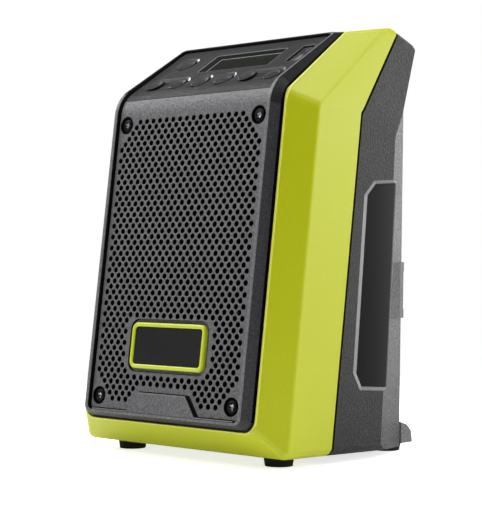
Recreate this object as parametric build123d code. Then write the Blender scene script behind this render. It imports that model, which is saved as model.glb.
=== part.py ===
"""Compact jobsite radio with a raked speaker face, a sloping control deck and a rear battery dock.

Frame: X to the user's right, Y from the speaker face to the back, Z up, floor at Z = 0.
While it is built, Y = 0 is the front lower edge of the side faces; at the end the whole
radio is moved so that the middle of its outline lies over the origin.
All sizes are in millimetres and all angles in degrees.
"""
import os
from math import atan2, cos, degrees, radians, sin, tan

from build123d import *

os.makedirs("parts", exist_ok=True)

# ---------------------------------------------------------------- housing, driving sizes
body_width = 116.0          # across the flat side faces
body_top = 180.0            # floor to the flat top of the head
floor_gap = 4.3             # the housing stands this high on its front feet
rear_gap = 2.0              # and this high at the dock's rear face
front_rake = 7.9            # the speaker face leans back from the vertical
side_crease_depth = 13.8    # the side creases lie this far behind the speaker face
side_lean = 8.0             # above the knee the side faces lean inward
knee_height = 143.6         # height where the lean starts and the side crease bends back
top_rear = 74.0             # rear edge of the flat top
head_rear = 88.4            # rearmost edge of the head
head_drop = 6.0             # which lies this far below the flat top
neck_depth = 68.2           # the head's overhang ends here
neck_height = 133.1
base_rear = 57.9            # rear side crease at the bottom of the housing
dock_depth = 83.8           # rear face of the dock at the bottom
dock_lean = 1.7             # the dock's rear face leans forward
dock_flank = 19.7           # dock flanks turn in from the side faces by this angle
dock_front = 50.0           # the dock's form starts inside the body
dock_under_head = 8.0       # and ends this far below the head's rear edge
wall = 2.8                  # moulded wall of both housings
edge_round = 4.0            # soft edges of the mouldings
edge_facets = 2             # flats that make up a soft edge
fold_facets = 3             # and those of the wide round beside the fold

# ---------------------------------------------------------------- speaker face and deck
fold_height = 150.4         # floor to the fold between the speaker face and the deck
face_length = 136.2         # fold down to the bezel's lower edge
deck_slope = 32.0           # control deck, above the horizontal
deck_length = 50.0          # fold up to the bezel's top edge
bezel_half_width = 48.8     # on the speaker face
bezel_top_half_width = 46.2  # the deck narrows towards its top edge
bezel_drop = 2.8            # the bezel's outer edge lies this far behind its face
bezel_top_drop = 0.8        # the same at the deck's top edge
bezel_crest = 0.5           # the bezel stands proud of the grille by this
bezel_crest_width = 1.9     # flat crest beside the grille
bezel_fit = 0.2             # gap between the bezel and the front housing
bezel_corner = 5.0          # rounded lower corners
bezel_ledge = 2.4           # ledge under the edge of the grille and the deck
seat_depth = 5.0            # the bezel is seated this far behind the speaker face
baffle = 2.8                # front wall of the front housing, behind the bezel
fold_round = 14.0           # rounded fold of the grille, the deck and the bezel
parting_up = 1.0            # the grille ends and the deck starts this far above the fold
parting_gap = 0.3
panel_thick = 2.4           # grille and deck plates
panel_half_width = 43.8
panel_fit = 0.2             # gap between these plates and the bezel
deck_margin = 3.6           # bezel's top edge to the deck plate

# ---------------------------------------------------------------- seam between the housings
seam_setback = 26.6         # seam, measured back from the side crease
seam_head_slope = 50.0      # the seam follows the head back, above the horizontal
seam_knee_height = 141.5
seam_gap = 1.2
tongue_fit = 0.2
tongue_wall = 1.4
tongue_reach = 4.0

# ---------------------------------------------------------------- grille
grille_margin = 2.6         # bezel's lower edge to the grille's lower edge
pattern_centre = 52.4       # pattern centre below the fold
hole_pitch = 9.6            # along a row
row_pitch = 5.65            # between rows, which are staggered
hole_corners = 6            # the holes are hexagons
hole_radius = 2.6
rows_above = 7              # rows above the pattern centre
rows_below = 13
pattern_half_width = 38.6   # outermost hole centres
screw_clear = 9.6           # from a grille screw to the nearest hole centres, along X plus along the slope
cloth_thick = 0.5
cloth_gap = 0.1
cloth_margin = 1.2          # the cloth ends this far inside the ledge

badge_width = 42.4
badge_height = 19.0
badge_below = 52.6          # badge centre below the pattern centre
badge_rim = 1.7
badge_round = 3.0
badge_proud = 0.9           # the rim stands proud of the grille
badge_recess = 1.5          # moat round the rim
badge_plate_sink = 0.6
badge_floor = 1.2           # the badge stands this deep in the grille
badge_web = 3.9             # from the badge moat to the nearest hole centres

tab_top_half = 13.8         # raised tab below the badge
tab_foot_half = 20.0
tab_top_below = 72.0        # below the pattern centre
tab_foot_below = 80.0
tab_step = 0.9
tab_ledge_half = 41.0
tab_web = 4.4               # from the tab to the nearest hole centres

grille_screw_x = 38.4
grille_screw_up = 41.4      # upper pair above the pattern centre
grille_screw_down = 74.6    # lower pair below the pattern centre
screw_well_radius = 3.6
screw_well_depth = 1.5
screw_head_radius = 2.7
screw_head_height = 1.3
screw_shank_radius = 1.4

# ---------------------------------------------------------------- controls
key_row = 13.4              # row of keys above the fold
key_pitch = 13.6
key_radius = 4.2
key_fit = 0.3
key_sink = 0.6              # key tops lie below the deck
key_flange = 0.7
key_travel = 0.6
key_dish_radius = 5.9
key_dish_depth = 0.7
rocker_waist = 4.6
rocker_tilt = 3.0
pivot_radius = 0.9
pivot_fit = 0.06
pivot_ear = 1.4
power_x = -31.2
power_up = 33.0
window_left = -13.4
window_right = 21.4
window_low = 24.2
window_high = 36.4
window_sink = 1.4
window_fit = 0.1
window_bevel = 3.0
display_height = 5.2
usb_x = 36.3
usb_up = 31.0
usb_long = 13.1
usb_short = 5.7
usb_shell = 0.35
usb_depth = 14.0
usb_sink = 0.8
usb_tongue_long = 11.1
usb_tongue_thick = 1.84
board_thick = 1.2
board_drop = 8.0            # deck surface down to the control board
switch_side = 6.0
switch_height = 3.4
switch_button_radius = 1.7
switch_button_height = 0.6

# ---------------------------------------------------------------- loudspeaker
speaker_below = 50.0        # speaker axis below the fold
speaker_radius = 38.0
speaker_depth = 25.0
baffle_hole = 33.5
basket_sheet = 1.2
surround_width = 5.0
cone_sheet = 0.7
coil_radius = 9.0
magnet_radius = 21.0
magnet_thick = 8.0
gasket_thick = 1.0
gasket_wide = 1.1           # the ring lies inside the screws

# ---------------------------------------------------------------- battery dock
socket_height = 69.0        # axis of the battery stem above the floor
socket_width = 43.0
socket_tall = 37.0
socket_round = 8.0
socket_depth = 44.0
socket_wall = 2.2
landing_half_width = 39.0   # flat landing for the battery pack
landing_low = 17.0
landing_high = 130.0
landing_depth = 2.0
latch_half_height = 11.8    # raised pads behind the latch catches
latch_proud = 1.0
latch_width = 5.0
catch_depth = 1.6
catch_half_height = 8.0
blade_long = 16.0
blade_wide = 7.0
blade_thick = 0.8
blade_pitch = 9.0
lug_half_width = 49.4
lug_inner = 30.0
lug_depth = 7.4
lug_top = 12.6
lug_bottom = 3.1

# ---------------------------------------------------------------- feet
foot_radius = 6.5
foot_taper = 0.9
front_foot_height = 5.4
rear_foot_height = 3.4
foot_x = 42.6
front_foot_y = 12.2
rear_foot_y = 81.6

# ---------------------------------------------------------------- side inlay (right side only)
inlay_depth = 1.3
inlay_taper = 32.0          # the border of its pocket opens outwards by this angle
inlay_thick = 0.6
inlay_fit = 0.15
inlay_front_top = (48.2, 108.0)
inlay_front_low = (40.9, 36.3)
inlay_top = (54.4, 113.6)
inlay_low = (45.0, 29.6)

# ---------------------------------------------------------------- screws, posts and clearances
screw_fit = 0.1             # round a screw in its hole
boss_radius = 2.6           # bosses of the grille screws
grille_boss_depth = 16.0    # behind the speaker face
grille_screw_length = 11.0
housing_screw_inset = 13.6  # from the side faces
housing_screw_low = 26.0
housing_screw_high = 122.0
housing_screw_radius = 1.5
housing_screw_head = 2.8
housing_screw_seat = 8.0    # the heads seat this far behind the seam
housing_screw_grip = 11.0   # thread in the front housing
housing_boss = 3.6
board_screw_radius = 1.0
board_screw_head = 1.9
board_screw_length = 5.0
post_radius = 2.2
running_gap = 0.4           # clearances in the loudspeaker

# ---------------------------------------------------------------- inner pieces of the deck
key_rim = 0.8               # flat rim round the hollow of a key
key_hollow = 1.6            # flat floor of that hollow, radius
window_thick = 1.0
window_ledge = 1.0
window_frame = 2.0
window_bevel_tall = 1.7
board_left = -38.5
board_right = 38.5
board_low = 6.5
board_step = 22.8           # above this the board is notched for the USB socket
board_notch = 26.5
board_margin = 5.4          # the bezel's top edge to the board's
post_margin = 8.0           # and to the upper posts
board_posts = [(-13.6, 19.9), (13.6, 19.9)]
board_posts += [(x, deck_length - post_margin) for x in (-36.0, 24.0)]
usb_post_x = 29.6
usb_posts_up = (26.0, 38.0)
usb_post_radius = 1.8
usb_board_left = 27.4
usb_board_right = 39.6
usb_board_tall = 16.4
usb_board_top = -usb_sink - usb_depth
usb_tongue_offset = -1.1
usb_tongue_sink = 2.2
deck_open_low = 5.0
deck_open_margin = 4.5      # the bezel's top edge to the opening's
deck_open_half = 40.0

# ---------------------------------------------------------------- inner pieces of the loudspeaker
speaker_cone_depth = 8.5
coil_sheet = 0.5
coil_reach = 4.0            # the coil reaches this far past the front plate
yoke_radius = 19.0
yoke_thick = 2.4
basket_windows = 4
basket_window_wide = 16.0
speaker_screw_length = 4.2
speaker_screw_offset = 25.4  # screws from the speaker axis, along X and up the face
surround_rise = 2.0
cap_rise = 2.4

# ---------------------------------------------------------------- inner pieces of the rear housing
flange_thick = 2.4
flange_wide = 7.0           # flange beside the socket
dock_screw_x = 25.0
dock_screw_up = 22.0        # above and below the socket's axis
block_deep = 8.0
blade_tail = 5.0
blade_fit = 0.05
lug_root = 4.0
lug_nose = 0.8
lug_shoulder = 4.6
lug_brow = 1.8
latch_inner = 42.0
catch_inner = 46.6
foot_fit = 0.1
inlay_top_slope = 3.4       # upper edge of the inlay, above the horizontal
inlay_low_slope = -4.9
inlay_wrap = 6.0            # the inlay's prism runs this far past the rear crease
main_board_y = 58.0
main_board_half = 27.0
main_board_low = 96.0
main_board_high = 136.0
main_post_low = 99.0
main_post_high = 126.0
sink_x = 10.0
sink_height = 116.0
sink_tall = 26.0
fin_count = 6
fin_pitch = 3.6
fin_thick = 1.2
fin_deep = 8.0
fin_base = 2.0
capacitor_count = 2
capacitor_pitch = 10.5
capacitor_radius = 4.0
capacitor_tall = 12.0
antenna_radius = 4.0
antenna_half = 38.0
antenna_y = 71.0
antenna_height = 158.0
antenna_clip_x = 28.0
antenna_clip = 3.0
antenna_clip_tall = 6.0
antenna_coil_half = 9.0
antenna_wire = 0.8

TOUCH = 0.05                # pieces of one solid run into each other by this
BIG = 400.0                 # larger than the whole radio
half_width = body_width / 2
upward = (Align.CENTER, Align.CENTER, Align.MIN)      # pieces that stand on their plane


# ================================================================ geometry helpers
def meet(p, p_angle, q, q_angle):
    """Point where two lines of the side view cross; angles are above the horizontal."""
    a, b = radians(p_angle), radians(q_angle)
    cross = cos(a) * sin(b) - sin(a) * cos(b)
    t = ((q[0] - p[0]) * sin(b) - (q[1] - p[1]) * cos(b)) / cross
    return (p[0] + t * cos(a), p[1] + t * sin(a))


def side_slab(points, half):
    """Prism of a side-view outline, as wide as half to each side."""
    return extrude(Plane.YZ * Polygon(*points, align=None), half, both=True)


def plane_by(a, b, c, outside):
    """Plane through three points, facing the point outside."""
    a, b, c = Vector(*a), Vector(*b), Vector(*c)
    normal = (b - a).cross(c - a).normalized()
    if (Vector(*outside) - a).dot(normal) < 0:
        normal = -normal
    return Plane(origin=a, z_dir=normal)


def cut_beyond(solid, plane):
    """Remove what lies in front of a plane."""
    return solid - plane * Box(BIG, BIG, BIG, align=upward)


def across(p, q):
    """Plane across the radio along a side-view edge; its outside is to the left of the way from p to q."""
    run = Vector(0, q[0] - p[0], q[1] - p[1]).normalized()
    return Plane(origin=(0, *p), x_dir=(1, 0, 0), z_dir=(0, -run.Z, run.Y))


def rounding(a, b, radius, facets):
    """Planes that round the edge between two outer planes, all tangent to the same cylinder."""
    n, m = a.z_dir, b.z_dir
    inward = n.cross(m).cross(n).normalized()
    on_edge = a.origin + inward * ((b.origin - a.origin).dot(m) / inward.dot(m))
    centre = on_edge - (n + m) * (radius / (1 + n.dot(m)))
    turn = radians(n.get_angle(m))
    planes = []
    for index in range(1, facets + 1):
        part = index / (facets + 1)
        out = n * (sin((1 - part) * turn) / sin(turn)) + m * (sin(part * turn) / sin(turn))
        planes.append(Plane(origin=centre + out * radius, z_dir=out))
    return planes


def group(pieces):
    """Separate solids that share one node."""
    return Compound([solid for piece in pieces for solid in piece.solids()])


# ================================================================ reference planes
face_angle = 90 - front_rake
fold_y = (fold_height - floor_gap) * tan(radians(front_rake)) - side_crease_depth / cos(radians(front_rake))
fold = (fold_y, fold_height)
# local axes of both planes: X to the right, Y up the slope, Z out of the surface
face_plane = Plane(origin=(0, *fold), x_dir=(1, 0, 0),
                   z_dir=(0, -sin(radians(face_angle)), cos(radians(face_angle))))
deck_plane = Plane(origin=(0, *fold), x_dir=(1, 0, 0),
                   z_dir=(0, -sin(radians(deck_slope)), cos(radians(deck_slope))))


def on_face(up, out=0.0):
    """Side-view point on the speaker face, measured up from the fold."""
    p = face_plane.from_local_coords((0, up, out))
    return (p.Y, p.Z)


def on_deck(up, out=0.0):
    """Side-view point on the control deck, measured up from the fold."""
    p = deck_plane.from_local_coords((0, up, out))
    return (p.Y, p.Z)


def fold_at(out):
    """Side-view fold of the two planes, both moved out by the same distance."""
    return meet(on_face(0, out), face_angle, on_deck(0, out), deck_slope)


def bent_strip(high, low, bottom, top):
    """Side-view outline of a sheet that follows the speaker face and the deck."""
    return [on_face(bottom, high), fold_at(high), on_deck(top, high),
            on_deck(top, low), fold_at(low), on_face(bottom, low)]


# ================================================================ housing form
crease_foot = (0.0, floor_gap)
rim_low = on_face(-face_length, -bezel_drop)
rim_fold = fold_at(-bezel_drop)
rim_top = on_deck(deck_length, -bezel_top_drop)
neck = (neck_depth, neck_height)
heel = (base_rear, floor_gap + (rear_gap - floor_gap) * base_rear / dock_depth)


def leaning_x(height):
    """Half width of the radio at a height above the knee."""
    return half_width - (height - knee_height) * tan(radians(side_lean))


rim_x = bezel_half_width + bezel_fit
rim_top_x = bezel_top_half_width + bezel_fit
outside_right = (BIG, 0, body_top / 2)
face_flank = plane_by((rim_x, *rim_fold), (rim_x, *rim_low), (half_width, *crease_foot), outside_right)
head_side = plane_by((half_width, 0, knee_height), (half_width, head_rear, knee_height),
                     (leaning_x(body_top), 0, body_top), outside_right)


def on_side_crease(flank, height):
    """Point where a flank meets the side face, at a height at or above the knee."""
    x = leaning_x(height)
    n, o = flank.z_dir, flank.origin
    y = o.Y - (n.X * (x - o.X) + n.Z * (height - o.Z)) / n.Y
    return (x, y, height)


deck_flank = plane_by((rim_x, *rim_fold), (rim_top_x, *rim_top), on_side_crease(face_flank, knee_height),
                      outside_right)
flank_run = 10.0            # any length along the dock's flank gives the same plane
rear_flank = plane_by((half_width, *heel), (half_width, *neck),
                      (half_width - flank_run * tan(radians(dock_flank)), base_rear + flank_run, heel[1]),
                      outside_right)

housing_screws_at = [(x, height) for x in (housing_screw_inset - half_width, half_width - housing_screw_inset)
                     for height in (housing_screw_low, housing_screw_high)]
head_rear_height = body_top - head_drop
top_edge = (top_rear, body_top)
head_edge = (head_rear, head_rear_height)
body_outline = [crease_foot, rim_low, rim_fold, rim_top, top_edge, head_edge, neck, heel]
dock_top = head_rear_height - dock_under_head
dock_low_rear = (dock_depth, rear_gap)
dock_top_rear = (dock_depth - (dock_top - floor_gap) * tan(radians(dock_lean)), dock_top)
dock_low_front = (dock_front, floor_gap + (rear_gap - floor_gap) * dock_front / dock_depth)
dock_outline = [dock_low_front, dock_low_rear, dock_top_rear, (dock_front, dock_top)]

side_face = Plane(origin=(half_width, 0, 0), z_dir=(1, 0, 0))
under_face = across(heel, crease_foot)
apron = across(crease_foot, rim_low)
brow = across(rim_top, top_edge)
head_slope = across(top_edge, head_edge)
head_back = across(head_edge, neck)
dock_back = across(dock_top_rear, dock_low_rear)
body_edges = [(side_face, face_flank), (head_side, deck_flank), (head_side, brow), (head_side, head_slope),
              (deck_flank, brow), (brow, head_slope), (head_slope, head_back), (apron, face_flank),
              (under_face, apron), (under_face, face_flank), (under_face, side_face)]
dock_edges = [(dock_back, rear_flank), (under_face, side_face)]


def trimmed(solid, planes, inset):
    """Cut a solid by planes and by their mirror images, all moved in by an inset."""
    for plane in planes:
        solid = cut_beyond(solid, plane.offset(-inset))
    solid = mirror(solid, Plane.YZ)
    for plane in planes:
        solid = cut_beyond(solid, plane.offset(-inset))
    return solid


def form_part(outline, planes, inset):
    section = Polygon(*outline, align=None)
    if inset:
        section = offset(section, -inset, kind=Kind.INTERSECTION)
    return trimmed(extrude(Plane.YZ * section, half_width - inset, both=True), planes, inset)


def housing_form(inset=0.0):
    """Closed form of both housings together; an inset gives their cavity."""
    body = form_part(body_outline, [face_flank, deck_flank, head_side], inset)
    dock = form_part(dock_outline, [head_side, rear_flank], inset)
    return body + dock


def soft_form():
    """Outer form of both housings, with soft edges and a wide round beside the fold."""
    planes = [face_flank, deck_flank, head_side]
    planes += rounding(face_flank, deck_flank, fold_round - bezel_drop, fold_facets)
    for pair in body_edges:
        planes += rounding(*pair, edge_round, edge_facets)
    body = form_part(body_outline, planes, 0)
    planes = [head_side, rear_flank]
    for pair in dock_edges:
        planes += rounding(*pair, edge_round, edge_facets)
    return body + form_part(dock_outline, planes, 0)


outer_form = soft_form()
cavity = housing_form(wall)

dock_screws_at = [(x, socket_height - floor_gap + up) for x in (-dock_screw_x, dock_screw_x)
                  for up in (-dock_screw_up, dock_screw_up)]
# rear face of the dock: X to the left, Y up its slope, Z out of it
rear_plane = Plane(origin=(0, dock_depth, floor_gap), x_dir=(-1, 0, 0),
                   z_dir=(0, cos(radians(dock_lean)), sin(radians(dock_lean))))

seam_depth = side_crease_depth + seam_setback
seam_knee = meet(on_face(0, -seam_depth), face_angle, (0, seam_knee_height), 0)


def before_seam(back):
    """Everything in front of the seam, when the seam is moved towards the back."""
    slope = radians(seam_head_slope)
    low = on_face(-BIG, -seam_depth - back)
    upper = (seam_knee[0] + back * sin(slope), seam_knee[1] - back * cos(slope))
    knee = meet(low, face_angle, upper, seam_head_slope)
    high = (knee[0] + BIG * cos(slope), knee[1] + BIG * sin(slope))
    return side_slab([low, knee, high, (-BIG, high[1]), (-BIG, low[1])], BIG)


def seam_y(height):
    """Depth of the seam at a height below its knee."""
    return meet(on_face(0, -seam_depth), face_angle, (0, height), 0)[0]


# ================================================================ bezel, grille and deck
def rounded_strip(high, low, bottom, top, half):
    """Sheet along the speaker face and the deck, with its fold rounded on both sides."""
    strip = side_slab(bent_strip(high, low, bottom, top), half)
    for out in (high, low):
        edge = strip.edges().filter_by(Axis.X).sort_by_distance((0, *fold_at(out)))[0]
        strip = fillet(edge, fold_round + out)
    return strip


def bezel_envelope(high, grow):
    """Outer form of the bezel, or of the pocket that it sits in."""
    half = bezel_half_width + grow
    strip = side_slab(bent_strip(high, -seat_depth, -face_length - grow, deck_length + grow), half)
    tall = face_length + grow + BIG / 2
    outline = face_plane * Pos(0, tall / 2 - face_length - grow, -BIG / 2)
    outline *= extrude(RectangleRounded(2 * half, tall, bezel_corner + grow), BIG)
    narrowing = plane_by((half, *fold_at(0)), (bezel_top_half_width + grow, *on_deck(deck_length)),
                         (bezel_top_half_width + grow, *on_deck(deck_length, -seat_depth)), outside_right)
    return trimmed(strip & outline, [narrowing], 0)


panel_low = -face_length + grille_margin
panel_top = deck_length - deck_margin
crest_x = panel_half_width + panel_fit + bezel_crest_width


def make_front_bezel():
    """Frame round the grille and the deck, bevelled down to the housing, with a ledge inside."""
    frame = bezel_envelope(bezel_crest, 0)
    crest_fold = (crest_x, *fold_at(bezel_crest))
    face_bevel = plane_by((bezel_half_width, *on_face(0, -bezel_drop)),
                          (bezel_half_width, *on_face(-face_length, -bezel_drop)), crest_fold, outside_right)
    deck_bevel = plane_by((bezel_half_width, *fold_at(-bezel_drop)),
                          (bezel_top_half_width, *on_deck(deck_length, -bezel_top_drop)), crest_fold,
                          outside_right)
    bevels = [face_bevel, deck_bevel] + rounding(face_bevel, deck_bevel, fold_round - bezel_drop, fold_facets)
    frame = trimmed(frame, bevels, 0)
    low_crest = on_face(panel_low - panel_fit - bezel_crest_width / 2, bezel_crest)
    top_crest = on_deck(panel_top + panel_fit + bezel_crest_width / 2, bezel_crest)
    low_bevel = across(on_face(-face_length, -bezel_drop), low_crest)
    top_bevel = across(top_crest, on_deck(deck_length, -bezel_top_drop))
    frame = cut_beyond(cut_beyond(frame, low_bevel), top_bevel)
    panel_room = rounded_strip(bezel_drop, -panel_thick, panel_low - panel_fit, panel_top + panel_fit,
                               panel_half_width + panel_fit)
    inner = rounded_strip(bezel_drop, -seat_depth - 1, panel_low - panel_fit + bezel_ledge,
                          panel_top + panel_fit - bezel_ledge, ledge_x)
    frame = frame - panel_room - inner
    return frame


ledge_x = panel_half_width + panel_fit - bezel_ledge
grille_screws_at = [(x, up) for x in (-grille_screw_x, grille_screw_x)
                    for up in (grille_screw_up, -grille_screw_down)]


def on_pattern(x, up, out=0.0):
    """Location on the speaker face, measured from the centre of the hole pattern."""
    return face_plane * Pos(x, up - pattern_centre, out)


def hole_places():
    """Staggered rows of holes that leave room for the screws, the badge and the tab."""
    places = []
    badge_x = badge_width / 2 + badge_recess + badge_web
    badge_y = badge_height / 2 + badge_recess + badge_web
    columns = int(pattern_half_width / hole_pitch) + 1
    for row in range(-rows_below, rows_above + 1):
        up = row * row_pitch
        shift = 0 if row % 2 else hole_pitch / 2
        for column in range(-columns, columns):
            x = column * hole_pitch + shift
            near_screw = min(abs(x - sx) + abs(up - su) for sx, su in grille_screws_at) < screw_clear
            near_badge = abs(x) < badge_x and abs(up + badge_below) < badge_y
            tab_side = tab_top_half + (tab_foot_half - tab_top_half) / (tab_foot_below - tab_top_below) \
                * (-up - tab_top_below)
            near_tab = up < -tab_top_below + tab_web and abs(x) < tab_side + tab_web
            near_foot = up < -tab_foot_below + tab_web
            if abs(x) <= pattern_half_width and not (near_screw or near_badge or near_tab or near_foot):
                places.append((x, up))
    return places


def make_speaker_grille():
    plate = rounded_strip(0, -panel_thick, panel_low, panel_top, panel_half_width)
    plate -= deck_plane * Pos(0, parting_up - parting_gap / 2 + BIG / 2, 0) * Box(BIG, BIG, 4 * panel_thick)
    holes = Sketch() + [Pos(*place) * RegularPolygon(hole_radius, hole_corners) for place in hole_places()]
    plate -= on_pattern(0, 0, -2 * panel_thick) * extrude(holes, 3 * panel_thick)
    moat = RectangleRounded(badge_width + 2 * badge_recess, badge_height + 2 * badge_recess,
                            badge_round + badge_recess)
    plate -= on_pattern(0, -badge_below, -badge_floor) * extrude(moat, panel_thick)
    bottom = panel_low + pattern_centre
    tab = Polygon((-tab_ledge_half, bottom), (tab_ledge_half, bottom), (tab_ledge_half, -tab_foot_below),
                  (tab_foot_half, -tab_foot_below), (tab_top_half, -tab_top_below),
                  (-tab_top_half, -tab_top_below), (-tab_foot_half, -tab_foot_below),
                  (-tab_ledge_half, -tab_foot_below), align=None)
    plate += on_pattern(0, 0, -TOUCH) * extrude(tab, tab_step + TOUCH)
    for x, up in grille_screws_at:
        plate -= on_pattern(x, up, -screw_well_depth) * Cylinder(screw_well_radius, BIG, align=upward)
        plate -= on_pattern(x, up) * Cylinder(screw_shank_radius + screw_fit, 3 * panel_thick)
    return plate


def make_grille_cloth():
    top = rows_above * row_pitch + hole_radius
    bottom = panel_low + pattern_centre + bezel_ledge
    half = ledge_x - cloth_margin
    middle = (top + bottom) / 2
    cloth = on_pattern(0, middle, -panel_thick - cloth_gap - cloth_thick)
    cloth *= extrude(Rectangle(2 * half, top - bottom), cloth_thick)
    for x, up in grille_screws_at:
        cloth -= on_pattern(x, up) * Cylinder(boss_radius + cloth_margin, BIG / 8)
    return cloth


def badge_face():
    """Outline inside the badge's ring."""
    return RectangleRounded(badge_width - 2 * badge_rim, badge_height - 2 * badge_rim, badge_round - badge_rim)


def make_badge_ring():
    band = RectangleRounded(badge_width, badge_height, badge_round) - badge_face()
    return on_pattern(0, -badge_below, -badge_floor) * extrude(band, badge_floor + badge_proud)


def make_badge_plate():
    thick = badge_floor + badge_proud - badge_plate_sink
    return on_pattern(0, -badge_below, -badge_floor) * extrude(badge_face(), thick)


def headed_screw(head_radius, head_height, shank_radius, length):
    """Screw along Z: its head stands on Z = 0 and its shank points down."""
    head = Cylinder(head_radius, head_height, align=upward)
    return head + Pos(0, 0, -length) * Cylinder(shank_radius, length + TOUCH, align=upward)


def make_grille_screws():
    screw = headed_screw(screw_head_radius, screw_head_height, screw_shank_radius, grille_screw_length)
    return group([on_pattern(x, up, -screw_well_depth) * screw for x, up in grille_screws_at])


# ================================================================ controls
board_top = -board_drop
flange_top = -panel_thick - key_fit / 3
actuator_top = board_top + switch_height + switch_button_height
keys_at = {"mode_button": (-key_pitch / 2, key_row), "source_button": (key_pitch / 2, key_row),
           "power_button": (power_x, power_up)}
rockers_at = {"tuning_rocker": -2 * key_pitch, "volume_rocker": 2 * key_pitch}
window_x = (window_left + window_right) / 2
window_up = (window_low + window_high) / 2
window_wide = window_right - window_left
window_tall = window_high - window_low
pivot_depth = flange_top - pivot_ear
hub_half = rocker_waist / 2
ear_start = hub_half + key_fit
lobe_reach = key_pitch / 2
rocker_foot = actuator_top + lobe_reach * sin(radians(rocker_tilt)) + key_fit / 3


def on_deck_at(x, up, out=0.0):
    return deck_plane * Pos(x, up, out)


def lobed(grow, waist_grow):
    """Outline of a rocker: two round lobes and the bar between them."""
    lobes = Pos(-lobe_reach, 0) * Circle(key_radius + grow) + Pos(lobe_reach, 0) * Circle(key_radius + grow)
    return lobes + Rectangle(2 * lobe_reach, rocker_waist + 2 * waist_grow)


def dish(low_radius, high_radius):
    """Shallow round hollow, as deep as the dish depth, with its rim on Z = 0."""
    steep = (high_radius - low_radius) / key_dish_depth
    return Pos(0, 0, -key_dish_depth) * Cone(low_radius, high_radius + steep * TOUCH, key_dish_depth + TOUCH,
                                             align=upward)


def make_control_deck():
    deck = rounded_strip(0, -panel_thick, panel_low, panel_top, panel_half_width)
    deck -= deck_plane * Pos(0, parting_up + parting_gap / 2 - BIG / 2, 0) * Box(BIG, BIG, BIG)
    frame_low = -window_sink - window_thick - window_ledge
    frame = Rectangle(window_wide + 2 * window_frame, window_tall + 2 * window_frame)
    deck += on_deck_at(window_x, window_up, frame_low) * extrude(frame, -frame_low - panel_thick + TOUCH)
    for x, up in board_posts:
        deck += on_deck_at(x, up, board_top) * Cylinder(post_radius, -board_top - TOUCH, align=upward)
    for up in usb_posts_up:
        deck += on_deck_at(usb_post_x, up, usb_board_top) * Cylinder(usb_post_radius, -usb_board_top - TOUCH,
                                                                     align=upward)
    for x, up in keys_at.values():
        deck -= on_deck_at(x, up) * dish(key_radius, key_dish_radius)
        deck -= on_deck_at(x, up) * Cylinder(key_radius + key_fit, BIG / 8)
    for x in rockers_at.values():
        for side in (-lobe_reach, lobe_reach):
            deck -= on_deck_at(x + side, key_row) * dish(key_radius, key_dish_radius)
        deck -= on_deck_at(x, key_row, -2 * panel_thick) * extrude(lobed(key_fit, key_fit), 4 * panel_thick)
        ear_tall = 2 * pivot_radius - pivot_depth - panel_thick + TOUCH
        for side in (-1, 1):
            ear = on_deck_at(x, key_row + side * (ear_start + pivot_ear / 2), pivot_depth - 2 * pivot_radius)
            deck += ear * Box(4 * pivot_radius, pivot_ear, ear_tall, align=upward)
        bore = on_deck_at(x, key_row, pivot_depth) * Rot(90, 0, 0)
        deck -= bore * Cylinder(pivot_radius + pivot_fit, 2 * (ear_start + 2 * pivot_ear))
    for x, up in board_posts:
        deck -= on_deck_at(x, up, board_top) * Cylinder(board_screw_radius + screw_fit, board_screw_length,
                                                        align=upward)
    for up in usb_posts_up:
        deck -= on_deck_at(usb_post_x, up, usb_board_top) * Cylinder(board_screw_radius + screw_fit,
                                                                     board_screw_length, align=upward)
    recess = loft([Pos(0, 0, -window_sink) * Rectangle(window_wide, window_tall),
                   Rectangle(window_wide + 2 * window_bevel, window_tall + 2 * window_bevel_tall)])
    deck -= on_deck_at(window_x, window_up) * recess
    rebate = Rectangle(window_wide + 2 * window_fit, window_tall + 2 * window_fit)
    deck -= on_deck_at(window_x, window_up, -window_sink - window_thick) * extrude(rebate, window_thick)
    through = Rectangle(window_wide - 2 * window_ledge, window_tall - 2 * window_ledge)
    deck -= on_deck_at(window_x, window_up, -BIG / 8) * extrude(through, BIG / 4)
    deck -= on_deck_at(usb_x, usb_up) * Box(usb_short + 2 * panel_fit, usb_long + 2 * panel_fit, BIG / 8)
    return deck


def make_key():
    """Round key with a hollowed top, and the flange that keeps it under the deck."""
    key = Pos(0, 0, flange_top) * Cylinder(key_radius, -flange_top - key_sink, align=upward)
    key -= Pos(0, 0, -key_sink) * dish(key_hollow, key_radius - key_rim)
    foot = actuator_top + key_travel + running_gap / 4
    return key + Pos(0, 0, foot) * Cylinder(key_radius + key_flange, flange_top - foot, align=upward)


def make_rocker():
    """Rocker with a round lobe at each end, a foot under each lobe and a pivot pin in the middle."""
    rocker = Pos(0, 0, flange_top) * extrude(lobed(0, 0), -flange_top - key_sink)
    for side in (-lobe_reach, lobe_reach):
        rocker -= Pos(side, 0, -key_sink) * dish(key_hollow, key_radius - key_rim)
        rocker += Pos(side, 0, rocker_foot) * Cylinder(switch_button_radius, flange_top - rocker_foot + TOUCH,
                                                       align=upward)
    rocker += Pos(0, 0, pivot_depth - pivot_radius) * Box(2 * hub_half, 2 * hub_half,
                                                          flange_top - pivot_depth + pivot_radius + TOUCH,
                                                          align=upward)
    rocker += Pos(0, 0, pivot_depth) * Rot(90, 0, 0) * Cylinder(pivot_radius, 2 * (ear_start + pivot_ear))
    return rocker


def make_display_window():
    pane = Rectangle(window_wide, window_tall)
    return on_deck_at(window_x, window_up, -window_sink - window_thick) * extrude(pane, window_thick)


def make_display_module():
    inset = window_ledge + panel_fit
    return on_deck_at(window_x, window_up, board_top) * Box(window_wide - 2 * inset, window_tall - 2 * inset,
                                                            display_height, align=upward)


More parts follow.
